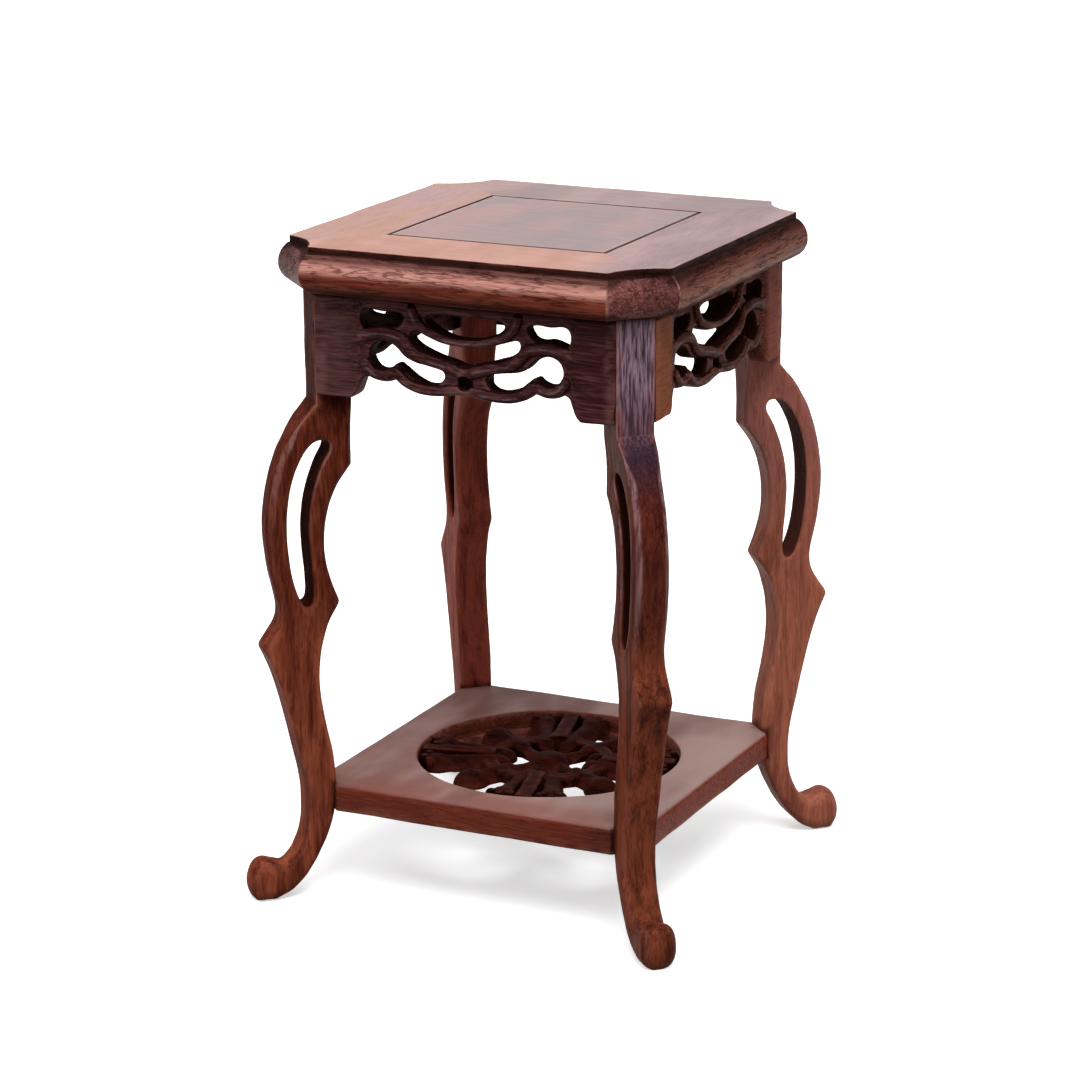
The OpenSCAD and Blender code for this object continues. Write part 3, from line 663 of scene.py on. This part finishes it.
def mixed(nodes, links, share, a, b, blend_type="MIX"):
    node = linked(nodes, links, "ShaderNodeMix", data_type="RGBA", blend_type=blend_type)
    sockets = {s.identifier: s for s in node.inputs}
    for key, value in (("Factor_Float", share), ("A_Color", a), ("B_Color", b)):
        connect(links, sockets[key], value)
    return next(s for s in node.outputs if s.identifier == "Result_Color")


class Wood:
    """A wood material. Its grain runs along X of its own coordinates, in millimetres."""

    def __init__(self, name, grain, seed):
        self.material = bpy.data.materials.new(name)
        self.material.use_nodes = True
        tree = self.material.node_tree
        tree.nodes.clear()
        self.nodes, self.links = tree.nodes, tree.links
        self.object_place = self.add("ShaderNodeTexCoord").outputs["Object"]
        self.place = self.add("ShaderNodeMapping", {
            "Vector": self.object_place,
            "Rotation": grain.to_euler(),
            "Scale": (1 / MM, 1 / MM, 1 / MM),
            "Location": (61.0 * seed, 17.0 * seed, 29.0 * seed),
        }).outputs["Vector"]
        # The grain drifts a few millimetres from side to side
        drift = self.add("ShaderNodeTexNoise", {"Vector": self.scaled(self.place, 70, 30), "Scale": 1.0})
        self.bent = self.add("ShaderNodeVectorMath", {
            0: drift.outputs["Color"], 1: (0.0, 7.0, 7.0), 2: self.place,
        }, operation="MULTIPLY_ADD").outputs["Vector"]
        self.fine = self.noise(self.bent, 26, 0.75, detail=3, rough=0.65)
        self.lines = self.step(self.fine, 0.42, 0.66)

    def add(self, kind, inputs=(), **settings):
        return linked(self.nodes, self.links, kind, inputs, **settings)

    def math(self, operation, a, b=0.0, clamp=False):
        node = self.add("ShaderNodeMath", {0: a, 1: b}, operation=operation, use_clamp=clamp)
        return node.outputs[0]

    def times(self, first, *others):
        for other in others:
            first = self.math("MULTIPLY", first, other)
        return first

    def step(self, value, start, end, low=0.0, high=1.0):
        node = self.add("ShaderNodeMapRange", {
            "Value": value, "From Min": start, "From Max": end, "To Min": low, "To Max": high,
        }, interpolation_type="SMOOTHSTEP")
        return node.outputs["Result"]

    def scaled(self, vector, along, across):
        inputs = {0: vector, 1: (1 / along, 1 / across, 1 / across)}
        return self.add("ShaderNodeVectorMath", inputs, operation="MULTIPLY").outputs["Vector"]

    def noise(self, vector, along, across, detail=2.0, rough=0.5):
        """Noise in patches about so long along the grain and so wide across it."""
        node = self.add("ShaderNodeTexNoise", {
            "Vector": self.scaled(vector, along, across), "Scale": 1.0, "Detail": detail,
            "Roughness": rough,
        })
        return node.outputs["Fac"]

    def mix(self, share, a, b, blend_type="MIX"):
        return mixed(self.nodes, self.links, share, a, b, blend_type)

    def mark(self, name):
        return self.add("ShaderNodeAttribute", attribute_name=name).outputs["Fac"]

    def coordinate(self, axis):
        return self.add("ShaderNodeSeparateXYZ", {0: self.object_place}).outputs[axis]

    def off_middle(self, axis):
        return self.math("ABSOLUTE", self.coordinate(axis))

    def along(self, axis, start, end, low=0.0, high=1.0):
        """A step along one of the stand's axes, between two places in millimetres."""
        return self.step(self.coordinate(axis), start * MM, end * MM, low, high)

    def tinted(self, tone, tints, vector, along, across):
        """Other tones that come in along an axis, each uneven along the grain."""
        for tint, axis, start, end, weak, strong in tints:
            noise = self.noise(vector, along, across, detail=2)
            uneven = self.step(noise, 0.38, 0.62, weak, strong)
            tone = self.mix(self.times(self.along(axis, start, end), uneven), tone, tint)
        return tone

    def ground(self, dark, mid, light, patch, streak, line):
        """Broad streaks, patches of another tone, and fine light lines."""
        broad = self.step(self.noise(self.bent, *streak, detail=4, rough=0.6), 0.36, 0.60)
        patches = self.step(self.noise(self.place, 34, 15, detail=3), 0.48, 0.66)
        tone = self.mix(broad, dark, mid)
        tone = self.mix(self.times(patches, PATCH_SHARE), tone, patch)
        return self.mix(self.times(self.lines, line), tone, light)

    def lit_brow(self, tone, dark, light):
        """Painted light from above and painted sheen on the moulded edge's upper round, by how far it
        faces up.
        """
        lit_brow_tone = self.mix(self.times(self.lines, 0.5), dark, light)
        return self.mix(self.step(self.mark("upward"), -0.02, 0.30), tone, lit_brow_tone)

    def past_cant(self):
        """How far, in metres, a point lies past the arris of a canted corner."""
        x, y = self.off_middle("X"), self.off_middle("Y")
        past_corner = self.times(self.math("ADD", x, y), 1 / ROOT2)
        past_side = self.math("ADD", self.math("MAXIMUM", x, y), (CORNER_PLANE - TOP_HALF) * MM)
        return self.math("SUBTRACT", past_corner, past_side)

    def canted(self, tone, dark, light, arris):
        """Speckled canted corners, and a broken painted highlight along their arrises."""
        past = self.past_cant()
        speckle = self.step(self.noise(self.place, 1.5, 1.0, detail=4, rough=0.7), 0.33, 0.70)
        tone = self.mix(self.step(past, 0.0, 0.3 * MM), tone, self.mix(speckle, dark, light))
        off_arris = self.math("ABSOLUTE", self.math("SUBTRACT", past, 0.2 * MM))
        near = self.step(off_arris, 0.1 * MM, 0.5 * MM, 0.7, 0.0)
        broken = self.step(self.noise(self.place, 6, 6), 0.3, 0.6)
        return self.mix(self.times(near, broken), tone, arris)

    def ridge_highlight(self, tone, highlight, start, end, strong):
        """A broken painted highlight on what is half turned to the side, as on a rounded arris."""
        sideways = self.mark("sideways")
        turned_out = self.step(sideways, 0.35, 0.62)
        not_side_on = self.step(sideways, 0.80, 0.96, 1.0, 0.0)
        high_up = self.along("Z", start, end, 0.15, 1.0)
        uneven = self.step(self.noise(self.bent, 16, 2.5, detail=3), 0.36, 0.58, 0.25, strong)
        return self.mix(self.times(turned_out, not_side_on, high_up, uneven), tone, highlight)

    def cheek(self, tone, other, start, end):
        """Another tone on what faces the side."""
        side_on = self.step(self.mark("sideways"), 0.86, 0.98)
        uneven = self.step(self.noise(self.bent, 16, 1.4, detail=3), 0.36, 0.60, 0.45, 0.95)
        return self.mix(self.times(side_on, self.along("Z", start, end), uneven), tone, other)

    def lit_sheened_top(self, tone, upper, level, tints):
        """A flat top in broad blotches under painted sheen and painted light from above, and how much of
        the pores shows there.
        """
        dark, light, line = upper
        blotch = self.step(self.noise(self.object_place, 24 * MM, 62 * MM, detail=2.5), 0.36, 0.64)
        sheen_tone = self.mix(blotch, dark, light)
        sheen_tone = self.mix(self.times(self.lines, 0.10), sheen_tone, line)
        sheen_tone = self.tinted(sheen_tone, tints, self.object_place, 30 * MM, 60 * MM)
        at_level = self.along("Z", level - 1.4, level - 0.8)
        upward = self.mark("upward")
        tone = self.mix(self.times(at_level, self.step(upward, 0.55, 0.97)), tone, sheen_tone)
        return tone, self.step(self.times(at_level, upward), 0.90, 0.99, 1.0, 0.16)

    def pores_and_cracks(self, pore, size, crack):
        """Share of long dark pores and of winding cracks that come and go."""
        marks = self.times(self.step(self.noise(self.bent, *size, detail=1), 0.60, 0.70), pore)
        if crack:
            winding = self.noise(self.bent, 17, 1.7, detail=2.5, rough=0.6)
            off_line = self.math("ABSOLUTE", self.math("SUBTRACT", winding, 0.5))
            cracks = self.step(off_line, 0.015, 0.060, 1.0, 0.0)
            broken = self.step(self.noise(self.place, 18, 4, detail=2), 0.38, 0.54)
            marks = self.math("MAXIMUM", marks, self.times(cracks, broken, crack))
        return marks

    def groove(self):
        """1 in the groove between the panel and the frame, and just over its arrises, where painted shade
        goes.
        """
        middle = PANEL_HALF - PANEL_GROOVE / 2
        half = PANEL_GROOVE / 2 + 0.30
        soft = 0.25
        out = self.math("MAXIMUM", self.off_middle("X"), self.off_middle("Y"))
        off = self.math("ABSOLUTE", self.math("SUBTRACT", out, middle * MM))
        near_top = self.along("Z", TOP_Z - 3.0, TOP_Z - 1.5)
        return self.times(near_top, self.step(off, half * MM, (half + soft) * MM, 1.0, 0.0))

    def surface(self, tone, specular, rough, marks, hollow, rubbed_and_highlit):
        """The shader, rougher in pores and hollows and smoother on rubbed arrises."""
        gloss = self.step(self.fine, 0.3, 0.7, *rough)
        gloss = self.math("ADD", gloss, self.times(marks, 0.2))
        gloss = self.math("ADD", gloss, self.times(hollow, 0.3))
        gloss = self.math("SUBTRACT", gloss, self.times(rubbed_and_highlit, 0.08), clamp=True)
        relief = self.math("SUBTRACT", self.times(self.fine, 0.5), self.times(marks, 0.9))
        relief = self.math("ADD", relief, self.times(self.noise(self.place, 14, 5), 0.5))
        bump = self.add("ShaderNodeBump", {"Strength": 0.6, "Distance": BUMP_DEPTH * MM, "Height": relief})
        shader = self.add("ShaderNodeBsdfPrincipled", {
            "Base Color": tone, "Roughness": gloss, "Specular IOR Level": specular,
            "Normal": bump.outputs["Normal"],
        })
        self.add("ShaderNodeOutputMaterial", {"Surface": shader.outputs["BSDF"]})


ALONG_X = Matrix.Identity(3)
ALONG_Z = Matrix.Rotation(np.pi / 2, 3, "Y")


def wood(name, dark, mid, light, patch, grain=ALONG_X, turn=0, seed=1, streak=(60, 5), line=0.35,
         pore=0.5, pore_size=(5, 0.36), crack=0.0, rough=(0.36, 0.52), specular=0.3, wear_and_highlight=0.3,
         rub_and_highlight=None, crest_highlight=None, ridge_highlight=None, cheek=None, shade=0.6, deep=1.0, upper=None, level=0.0,
         top_sheen_tints=(), lit_brow=None, cant=None, shaded_groove=False, tints=()):
    """Oiled heartwood, with streaks, growth lines, patches of another tone and pores;
    painted shade in hollows; arrises paler from wear and a painted highlight; and, where
    asked, painted light and sheen on tops and moulded edges and painted highlights on
    ridges, crests and canted arrises."""
    w = Wood(name, grain @ Matrix.Rotation(-np.radians(turn), 3, "Z"), seed)
    tone = w.ground(dark, mid, light, patch, streak, line)
    # Painted light and sheen on the moulded edge's upper round
    if lit_brow:
        tone = w.lit_brow(tone, *lit_brow)
    if cant:
        tone = w.canted(tone, *cant)
    tone = w.tinted(tone, tints, w.bent, 12, 0.9)
    # Painted highlights on half-turned arrises
    if ridge_highlight:
        tone = w.ridge_highlight(tone, *ridge_highlight)
    if cheek:
        tone = w.cheek(tone, *cheek)
    shown = 1.0
    # Flat tops get painted sheen and painted light from above
    if upper:
        tone, shown = w.lit_sheened_top(tone, upper, level, top_sheen_tints)

    marks = w.times(w.pores_and_cracks(pore, pore_size, crack), shown)
    tone = w.mix(marks, tone, w.mix(1.0, tone, PORE_TINT, "MULTIPLY"))
    # Arrises are paler, part wear and part painted highlight
    wear_and_highlight_patches = w.step(w.noise(w.place, 9, 5, detail=2), 0.35, 0.6)
    rubbed_and_highlit = w.math("MULTIPLY", w.mark("arris"), wear_and_highlight_patches, clamp=True)
    tone = w.mix(w.times(rubbed_and_highlit, wear_and_highlight), tone, rub_and_highlight or [min(1.0, 1.6 * c) for c in light])
    # Painted shade in hollows, in the walls of openings and slots, and where pieces meet
    hollow = w.mark("hollow")
    if deep < 1:
        hollow = w.step(hollow, 0.0, deep)
    tone = w.mix(w.times(hollow, shade), tone, w.mix(1.0, tone, HOLLOW_SHADE_TINT, "MULTIPLY"))
    # Painted highlights along the carved bands' crests
    if crest_highlight:
        broken = w.step(w.noise(w.place, 7, 7, detail=2), 0.40, 0.60)
        tone = w.mix(w.times(w.mark("crest_highlight"), broken, 0.5), tone, crest_highlight)
    # Painted shade in the groove round the panel
    if shaded_groove:
        tone = w.mix(w.groove(), tone, GROOVE_SHADE_TONE)
    w.surface(tone, specular, rough, marks, hollow, rubbed_and_highlit)
    return w.material


# Pieces

def cut_flat(mesh, planes):
    """Cuts a mesh off at planes, each a point and the way that goes, and closes it."""
    work = bmesh.new()
    work.from_mesh(mesh)
    for point, away in planes:
        everything = work.verts[:] + work.edges[:] + work.faces[:]
        cut = bmesh.ops.bisect_plane(
            work, geom=everything, plane_co=point, plane_no=away, clear_outer=True,
        )
        rim = [part for part in cut["geom_cut"] if isinstance(part, bmesh.types.BMEdge)]
        bmesh.ops.triangle_fill(work, edges=rim, use_beauty=True, normal=away)
        for edge in rim:
            edge.smooth = False
    work.to_mesh(mesh)
    work.free()


def shape_mesh(name, form, height=0.0, flatness=0.0, crest_highlight=None):
    """A mesh from a form. A larger flatness leaves fewer faces where it is flat."""
    points, faces, marks = carve(*form, flatness)
    if crest_highlight:
        marks["crest_highlight"] = crest_highlight(points)
    mesh = bpy.data.meshes.new(name)
    mesh.from_pydata((points + (0, 0, height)) * MM, [], faces)
    for key, values in marks.items():
        mesh.attributes.new(key, "FLOAT", "POINT").data.foreach_set("value", values)
    mesh.shade_smooth()
    return mesh


def placed(name, data):
    thing = bpy.data.objects.new(name, data)
    bpy.context.collection.objects.link(thing)
    return thing


def piece(node, mesh, material, turn=0):
    """The visible piece for a node: a copy of a mesh, turned to its side of the stand."""
    mesh = mesh.copy()
    mesh.transform(Matrix.Rotation(np.radians(turn), 4, "Z"))
    mesh.name = "carved_" + node
    mesh.materials.append(material)
    body = placed("carved_" + node, mesh)
    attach(body, "root")
    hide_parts(node)


SIDES = (("front", 0), ("right", 90), ("back", 180), ("left", 270))
CORNERS = (("front_left", 225), ("front_right", 315), ("back_right", 45), ("back_left", 135))

# Tones. A tint has an axis, where it starts and is full in millimetres, and its lowest
# and highest share. A painted ridge highlight and a cheek have the heights where they come in.

LEG_TONES = {
    "front_left": dict(
        dark=(0.080, 0.014, 0.008), mid=(0.228, 0.052, 0.026), light=(0.35, 0.106, 0.054),
        patch=(0.30, 0.088, 0.038),
        tints=(
            ((0.070, 0.011, 0.006), "Z", 96, 132, 0.50, 0.92),
            ((0.034, 0.005, 0.003), "Z", 196, 204, 0.8, 1.0),
        ),
        ridge_highlight=((0.250, 0.120, 0.100), 148, 190, 0.75), crack=0.4, specular=0.003,
    ),
    "front_right": dict(
        dark=(0.055, 0.011, 0.006), mid=(0.170, 0.038, 0.019), light=(0.27, 0.083, 0.045),
        patch=(0.24, 0.062, 0.027),
        tints=(
            ((0.052, 0.009, 0.008), "Z", 112, 150, 0.45, 0.80),
            ((0.028, 0.017, 0.032), "Z", 176, 200, 0.85, 1.0),
            # A pinkish and a bluish-grey tint over the head: painted sheen
            ((0.255, 0.118, 0.140), "Z", 195, 206, 0.10, 0.62),
            ((0.345, 0.258, 0.335), "Z", 202, 232, 0.04, 0.68),
            ((0.085, 0.018, 0.008), "Z", 28, 14, 0.1, 0.5),
        ),
        ridge_highlight=((0.270, 0.140, 0.145), 112, 166, 0.85), cheek=((0.125, 0.042, 0.020), 160, 178),
        crack=0.6, specular=0.012,
    ),
    "back_right": dict(
        dark=(0.200, 0.056, 0.034), mid=(0.330, 0.102, 0.060), light=(0.44, 0.165, 0.105),
        patch=(0.40, 0.130, 0.072), tints=(((0.245, 0.090, 0.080), "Z", 110, 180, 0.4, 0.85),),
        ridge_highlight=((0.380, 0.170, 0.140), 120, 180, 0.5), crack=0.3, specular=0.016,
    ),
    "back_left": dict(
        dark=(0.130, 0.026, 0.017), mid=(0.300, 0.060, 0.037), light=(0.40, 0.115, 0.074),
        patch=(0.34, 0.082, 0.047), tints=(((0.140, 0.030, 0.021), "Z", 120, 200, 0.3, 0.7),),
        ridge_highlight=((0.300, 0.120, 0.090), 120, 180, 0.4), crack=0.3, specular=0.012,
    ),
}
FAR_APRON = dict(
    dark=(0.016, 0.003, 0.004), mid=(0.050, 0.012, 0.013), light=(0.110, 0.042, 0.040),
    patch=(0.030, 0.008, 0.010), specular=0.004,
)
# Painted shade on the inner faces of the far aprons, seen through the openings
INNER_SHADE = (0.016, 0.003, 0.002)
APRON_TONES = {
    "front": dict(
        dark=(0.014, 0.002, 0.003), mid=(0.048, 0.011, 0.012), light=(0.150, 0.062, 0.060),
        patch=(0.030, 0.008, 0.010),
        tints=(
            ((0.024, 0.004, 0.005), "X", -20, 60, 0.2, 0.6),
            ((0.090, 0.042, 0.041), "X", -42, -52, 0.2, 0.7),
        ),
        specular=0.020,
    ),
    "right": dict(
        dark=(0.026, 0.006, 0.005), mid=(0.058, 0.015, 0.011), light=(0.190, 0.068, 0.046),
        patch=(0.050, 0.014, 0.010),
        tints=(
            ((0.240, 0.062, 0.018), "Y", -45, -51, 0.7, 1.0),
            ((0.210, 0.050, 0.030), "Y", 44, 51, 0.7, 1.0),
        ),
        specular=0.010,
    ),
    "back": dict(tints=((INNER_SHADE, "Y", 68.5, 67, 0.8, 1.0),), **FAR_APRON),
    "left": dict(tints=((INNER_SHADE, "X", -68.5, -67, 0.8, 1.0),), **FAR_APRON),
}
SHELF_TONES = dict(
    dark=(0.060, 0.010, 0.005), mid=(0.130, 0.026, 0.014), light=(0.240, 0.072, 0.046),
    patch=(0.160, 0.034, 0.018), rub_and_highlight=(0.31, 0.115, 0.085),
    tints=(
        ((0.100, 0.016, 0.008), "Y", -69.5, -71.5, 0.2, 0.9),
        ((0.340, 0.046, 0.008), "X", 69.5, 71.5, 0.6, 1.0),
        ((0.020, 0.008, 0.010), "X", 44, 58, 0.2, 0.8),
    ),
    upper=((0.165, 0.070, 0.058), (0.350, 0.205, 0.185), (0.34, 0.190, 0.170)),
    # The shelf top is painted paler towards the right and darker towards the left: painted light and shade
    top_sheen_tints=(
        ((0.185, 0.082, 0.070), "X", 10, -50, 0.2, 0.8),
        ((0.345, 0.228, 0.203), "X", 0, 56, 0.3, 0.85),
        ((0.200, 0.066, 0.048), "Y", -46, -64, 0.1, 0.75),
    ),
)
# Painted shade on the lip's face below the top
LIP_SHADE = ((0.034, 0.009, 0.006), "Z", LIP_BOTTOM - 0.2, LIP_BOTTOM + 0.1, 0.9, 1.0)
FRONT_LIP_SHADE = ((0.090, 0.027, 0.018), "Z", LIP_BOTTOM - 0.2, LIP_BOTTOM + 0.1, 0.7, 1.0)
# Painted highlight along the arrises of the canted corners
CANT_ARRIS_HIGHLIGHT = (0.42, 0.25, 0.20)
RIGHT_RAIL = dict(
    dark=(0.085, 0.016, 0.007), mid=(0.210, 0.060, 0.026), light=(0.340, 0.138, 0.070),
    patch=(0.280, 0.100, 0.042), lit_brow=((0.080, 0.015, 0.008), (0.262, 0.078, 0.045)),
    cant=((0.070, 0.018, 0.016), (0.190, 0.068, 0.062), CANT_ARRIS_HIGHLIGHT), tints=(LIP_SHADE,),
)
RAIL_TONES = {
    "front": dict(
        dark=(0.054, 0.008, 0.005), mid=(0.165, 0.026, 0.014), light=(0.310, 0.088, 0.055),
        patch=(0.210, 0.040, 0.019), lit_brow=((0.465, 0.200, 0.163), (0.710, 0.375, 0.310)),
        cant=((0.126, 0.038, 0.033), (0.305, 0.116, 0.107), CANT_ARRIS_HIGHLIGHT),
        tints=(
            FRONT_LIP_SHADE,
            ((0.070, 0.020, 0.015), "X", -64, -68, 0.5, 0.9),
            ((0.040, 0.010, 0.008), "X", 64, 68, 0.1, 0.3),
        ),
        upper=((0.46, 0.24, 0.185), (0.54, 0.30, 0.25), (0.60, 0.35, 0.29)),
        top_sheen_tints=(((0.35, 0.24, 0.240), "X", 42, 64, 0.8, 0.95),),
    ),
    "right": dict(
        upper=((0.30, 0.205, 0.215), (0.41, 0.275, 0.270), (0.42, 0.30, 0.29)), **RIGHT_RAIL,
    ),
    "back": dict(
        upper=((0.30, 0.22, 0.22), (0.38, 0.270, 0.260), (0.44, 0.33, 0.31)),
        top_sheen_tints=(((0.44, 0.28, 0.26), "X", -30, -60, 0.4, 0.8),), **RIGHT_RAIL,
    ),
    "left": dict(
        dark=(0.055, 0.009, 0.005), mid=(0.120, 0.030, 0.018), light=(0.220, 0.075, 0.045),
        patch=(0.140, 0.036, 0.020), lit_brow=((0.090, 0.025, 0.018), (0.180, 0.066, 0.050)),
        cant=((0.050, 0.011, 0.009), (0.105, 0.028, 0.024), (0.20, 0.10, 0.08)),
        tints=(LIP_SHADE,), upper=((0.46, 0.26, 0.205), (0.42, 0.27, 0.28), (0.56, 0.34, 0.27)),
        top_sheen_tints=(((0.50, 0.28, 0.205), "Y", -36, -58, 0.5, 0.9),),
    ),
}
# The panel's top tones, with painted sheen and painted light from above
PANEL_TOP_SHEEN = ((0.265, 0.190, 0.192), (0.350, 0.205, 0.192), (0.38, 0.26, 0.25))

leg_mesh = shape_mesh("leg", leg_form(), flatness=0.01)
for number, (corner, turn) in enumerate(CORNERS):
    leg_wood = wood(
        "leg_wood_" + corner, **LEG_TONES[corner], grain=ALONG_Z, turn=turn, seed=2 + number,
        streak=(70, 5.0), line=0.18, pore=0.45, pore_size=(7, 0.42), rough=(0.30, 0.48),
        wear_and_highlight=0.25, shade=0.9,
    )
    piece("leg_" + corner, leg_mesh, leg_wood, turn)

apron_mesh = shape_mesh("apron", apron_form(), APRON_BOTTOM, flatness=0.005, crest_highlight=apron_crest)
rail_mesh = shape_mesh("rail", rail_form(), flatness=0.005)
cut_flat(rail_mesh, [
    (Vector((0, -MITRE_GAP * MM * ROOT2, 0)), Vector((side, 1, 0)).normalized()) for side in (-1, 1)
])
for number, (side, turn) in enumerate(SIDES):
    apron_wood = wood(
        "apron_wood_" + side, **APRON_TONES[side], turn=turn, seed=11 + number, streak=(50, 4),
        line=0.6, pore_size=(6, 0.4), rough=(0.30, 0.5), shade=0.97, deep=0.6,
        crest_highlight=(0.20, 0.15, 0.16),
    )
    piece("apron_" + side, apron_mesh, apron_wood, turn)
    rail_wood = wood(
        "rail_wood_" + side, **RAIL_TONES[side], turn=turn, seed=21 + number, streak=(60, 2.6),
        line=0.40, pore=0.70, pore_size=(6, 0.5), crack=0.88, specular=0.05, wear_and_highlight=0.12, shade=0.9,
        level=TOP_Z, shaded_groove=True,
    )
    piece("top_rail_" + side, rail_mesh, rail_wood, turn)

panel_wood = wood(
    "panel_wood", dark=(0.13, 0.066, 0.062), mid=(0.235, 0.130, 0.125), light=(0.29, 0.175, 0.172),
    patch=(0.25, 0.125, 0.105), seed=31, streak=(80, 6), line=0.4, shade=0.9,
    upper=PANEL_TOP_SHEEN, level=TOP_Z, shaded_groove=True,
)
panel_mesh = shape_mesh("panel", panel_form(), flatness=0.005)
piece("top_panel", panel_mesh, panel_wood)

shelf_wood = wood(
    "shelf_wood", **SHELF_TONES, seed=41, streak=(90, 5), line=0.3, specular=0.04, wear_and_highlight=0.4,
    level=SHELF_TOP,
)
shelf_mesh = shape_mesh("shelf", shelf_form(), flatness=0.005)
piece("shelf_board", shelf_mesh, shelf_wood)

carving_wood = wood(
    "carving_wood", dark=(0.012, 0.002, 0.002), mid=(0.030, 0.005, 0.003), light=(0.075, 0.016, 0.009),
    patch=(0.040, 0.007, 0.004), seed=51, streak=(30, 4), line=0.3, specular=0.005, wear_and_highlight=0.4,
    shade=0.95, deep=0.7,
)
carving_mesh = shape_mesh("carving", medallion_form(), flatness=0.003)
piece("shelf_medallion", carving_mesh, carving_wood)

# The batten and the dowels keep the meshes of their solids
batten_wood = wood(
    "batten_wood", dark=(0.055, 0.009, 0.005), mid=(0.145, 0.027, 0.014), light=(0.260, 0.080, 0.045),
    patch=(0.200, 0.042, 0.020), turn=90, seed=61,
)
dowel_wood = wood(
    "dowel_wood", dark=(0.16, 0.09, 0.05), mid=(0.25, 0.15, 0.09), light=(0.33, 0.22, 0.14),
    patch=(0.22, 0.13, 0.07), seed=71, specular=0.25,
)
for node, material in (("panel_batten", batten_wood), ("shelf_dowels", dowel_wood)):
    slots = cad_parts[node].data.materials
    for index in range(len(slots)):
        slots[index] = material


# Studio: a pale floor, a pale sky and two broad lamps

FLOOR_HALF = 8.0
# Brightness as the camera sees it, and as it lights the stand
FLOOR_SEEN = 0.96
FLOOR_UNSEEN = 0.30
FLOOR_GLOW = 0.5
SKY_SEEN = 1.0
SKY_UNSEEN = 0.52


def level_plane(name, half):
    mesh = bpy.data.meshes.new(name)
    corners = [(-half, -half, 0), (half, -half, 0), (half, half, 0), (-half, half, 0)]
    mesh.from_pydata(corners, [], [(0, 1, 2, 3)])
    return placed(name, mesh)


def seen_share(nodes, links):
    """1 for the rays that show the pale studio as white."""
    path = nodes.new("ShaderNodeLightPath")
    either = path.outputs["Is Camera Ray"]
    for ray in ("Is Glossy Ray", "Is Transmission Ray"):
        inputs = {0: either, 1: path.outputs[ray]}
        either = linked(nodes, links, "ShaderNodeMath", inputs, operation="MAXIMUM").outputs[0]
    return either


def pale_colour(nodes, links, seen, unseen):
    return mixed(nodes, links, seen_share(nodes, links), [unseen] * 3, [seen] * 3)


def soft_sun(name, towards, strength, width):
    """A broad light, so many degrees wide, that shines along a direction."""
    lamp = bpy.data.lights.new(name, "SUN")
    lamp.energy = strength
    lamp.angle = np.radians(width)
    sun = placed(name, lamp)
    sun.rotation_mode = "QUATERNION"
    sun.rotation_quaternion = Vector(towards).to_track_quat("-Z", "Y")


floor = level_plane("floor", FLOOR_HALF)
floor_paint = bpy.data.materials.new("floor_paint")
floor_paint.use_nodes = True
nodes, links = floor_paint.node_tree.nodes, floor_paint.node_tree.links
glow_inputs = {0: seen_share(nodes, links), 1: FLOOR_GLOW}
glow = linked(nodes, links, "ShaderNodeMath", glow_inputs, operation="MULTIPLY")
for key, value in (
    ("Roughness", 0.9), ("Specular IOR Level", 0.0),
    ("Base Color", pale_colour(nodes, links, FLOOR_SEEN, FLOOR_UNSEEN)),
    ("Emission Color", (1, 1, 1)), ("Emission Strength", glow.outputs[0]),
):
    connect(links, nodes["Principled BSDF"].inputs[key], value)
floor.data.materials.append(floor_paint)

world = bpy.data.worlds.new("studio")
world.use_nodes = True
nodes, links = world.node_tree.nodes, world.node_tree.links
links.new(pale_colour(nodes, links, SKY_SEEN, SKY_UNSEEN), nodes["Background"].inputs["Color"])
bpy.context.scene.world = world

soft_sun("key", towards=(-0.32, 0.50, -1.0), strength=2.5, width=36)
soft_sun("fill", towards=(0.8, 0.45, -0.45), strength=0.55, width=60)


# Camera, placed as the photograph's was, in degrees and metres

VIEW_TURN = 25.47
VIEW_RISE = 15.66
VIEW_ROLL = -0.277
VIEW_DISTANCE = 1.4562
VIEW_HEIGHT = 0.1370
VIEW_ASIDE = -0.0032
VIEW_LENS = 120.9
SENSOR_WIDTH = 36

turn, rise, roll = np.radians([VIEW_TURN, VIEW_RISE, VIEW_ROLL])
back = Vector((np.sin(turn) * np.cos(rise), -np.cos(turn) * np.cos(rise), np.sin(rise)))
right = Vector((np.cos(turn), np.sin(turn), 0))
up = back.cross(right)
level_right = right * np.cos(roll) + up * np.sin(roll)
level_up = up * np.cos(roll) - right * np.sin(roll)
camera_data = bpy.data.cameras.new("camera")
camera_data.lens = VIEW_LENS
camera_data.sensor_width = SENSOR_WIDTH
camera = placed("camera", camera_data)
camera.matrix_world = Matrix.Translation(
    Vector((0, 0, VIEW_HEIGHT)) + right * VIEW_ASIDE + back * VIEW_DISTANCE
) @ Matrix((level_right, level_up, back)).transposed().to_4x4()
bpy.context.scene.camera = camera
bpy.context.scene.view_settings.view_transform = "Standard"
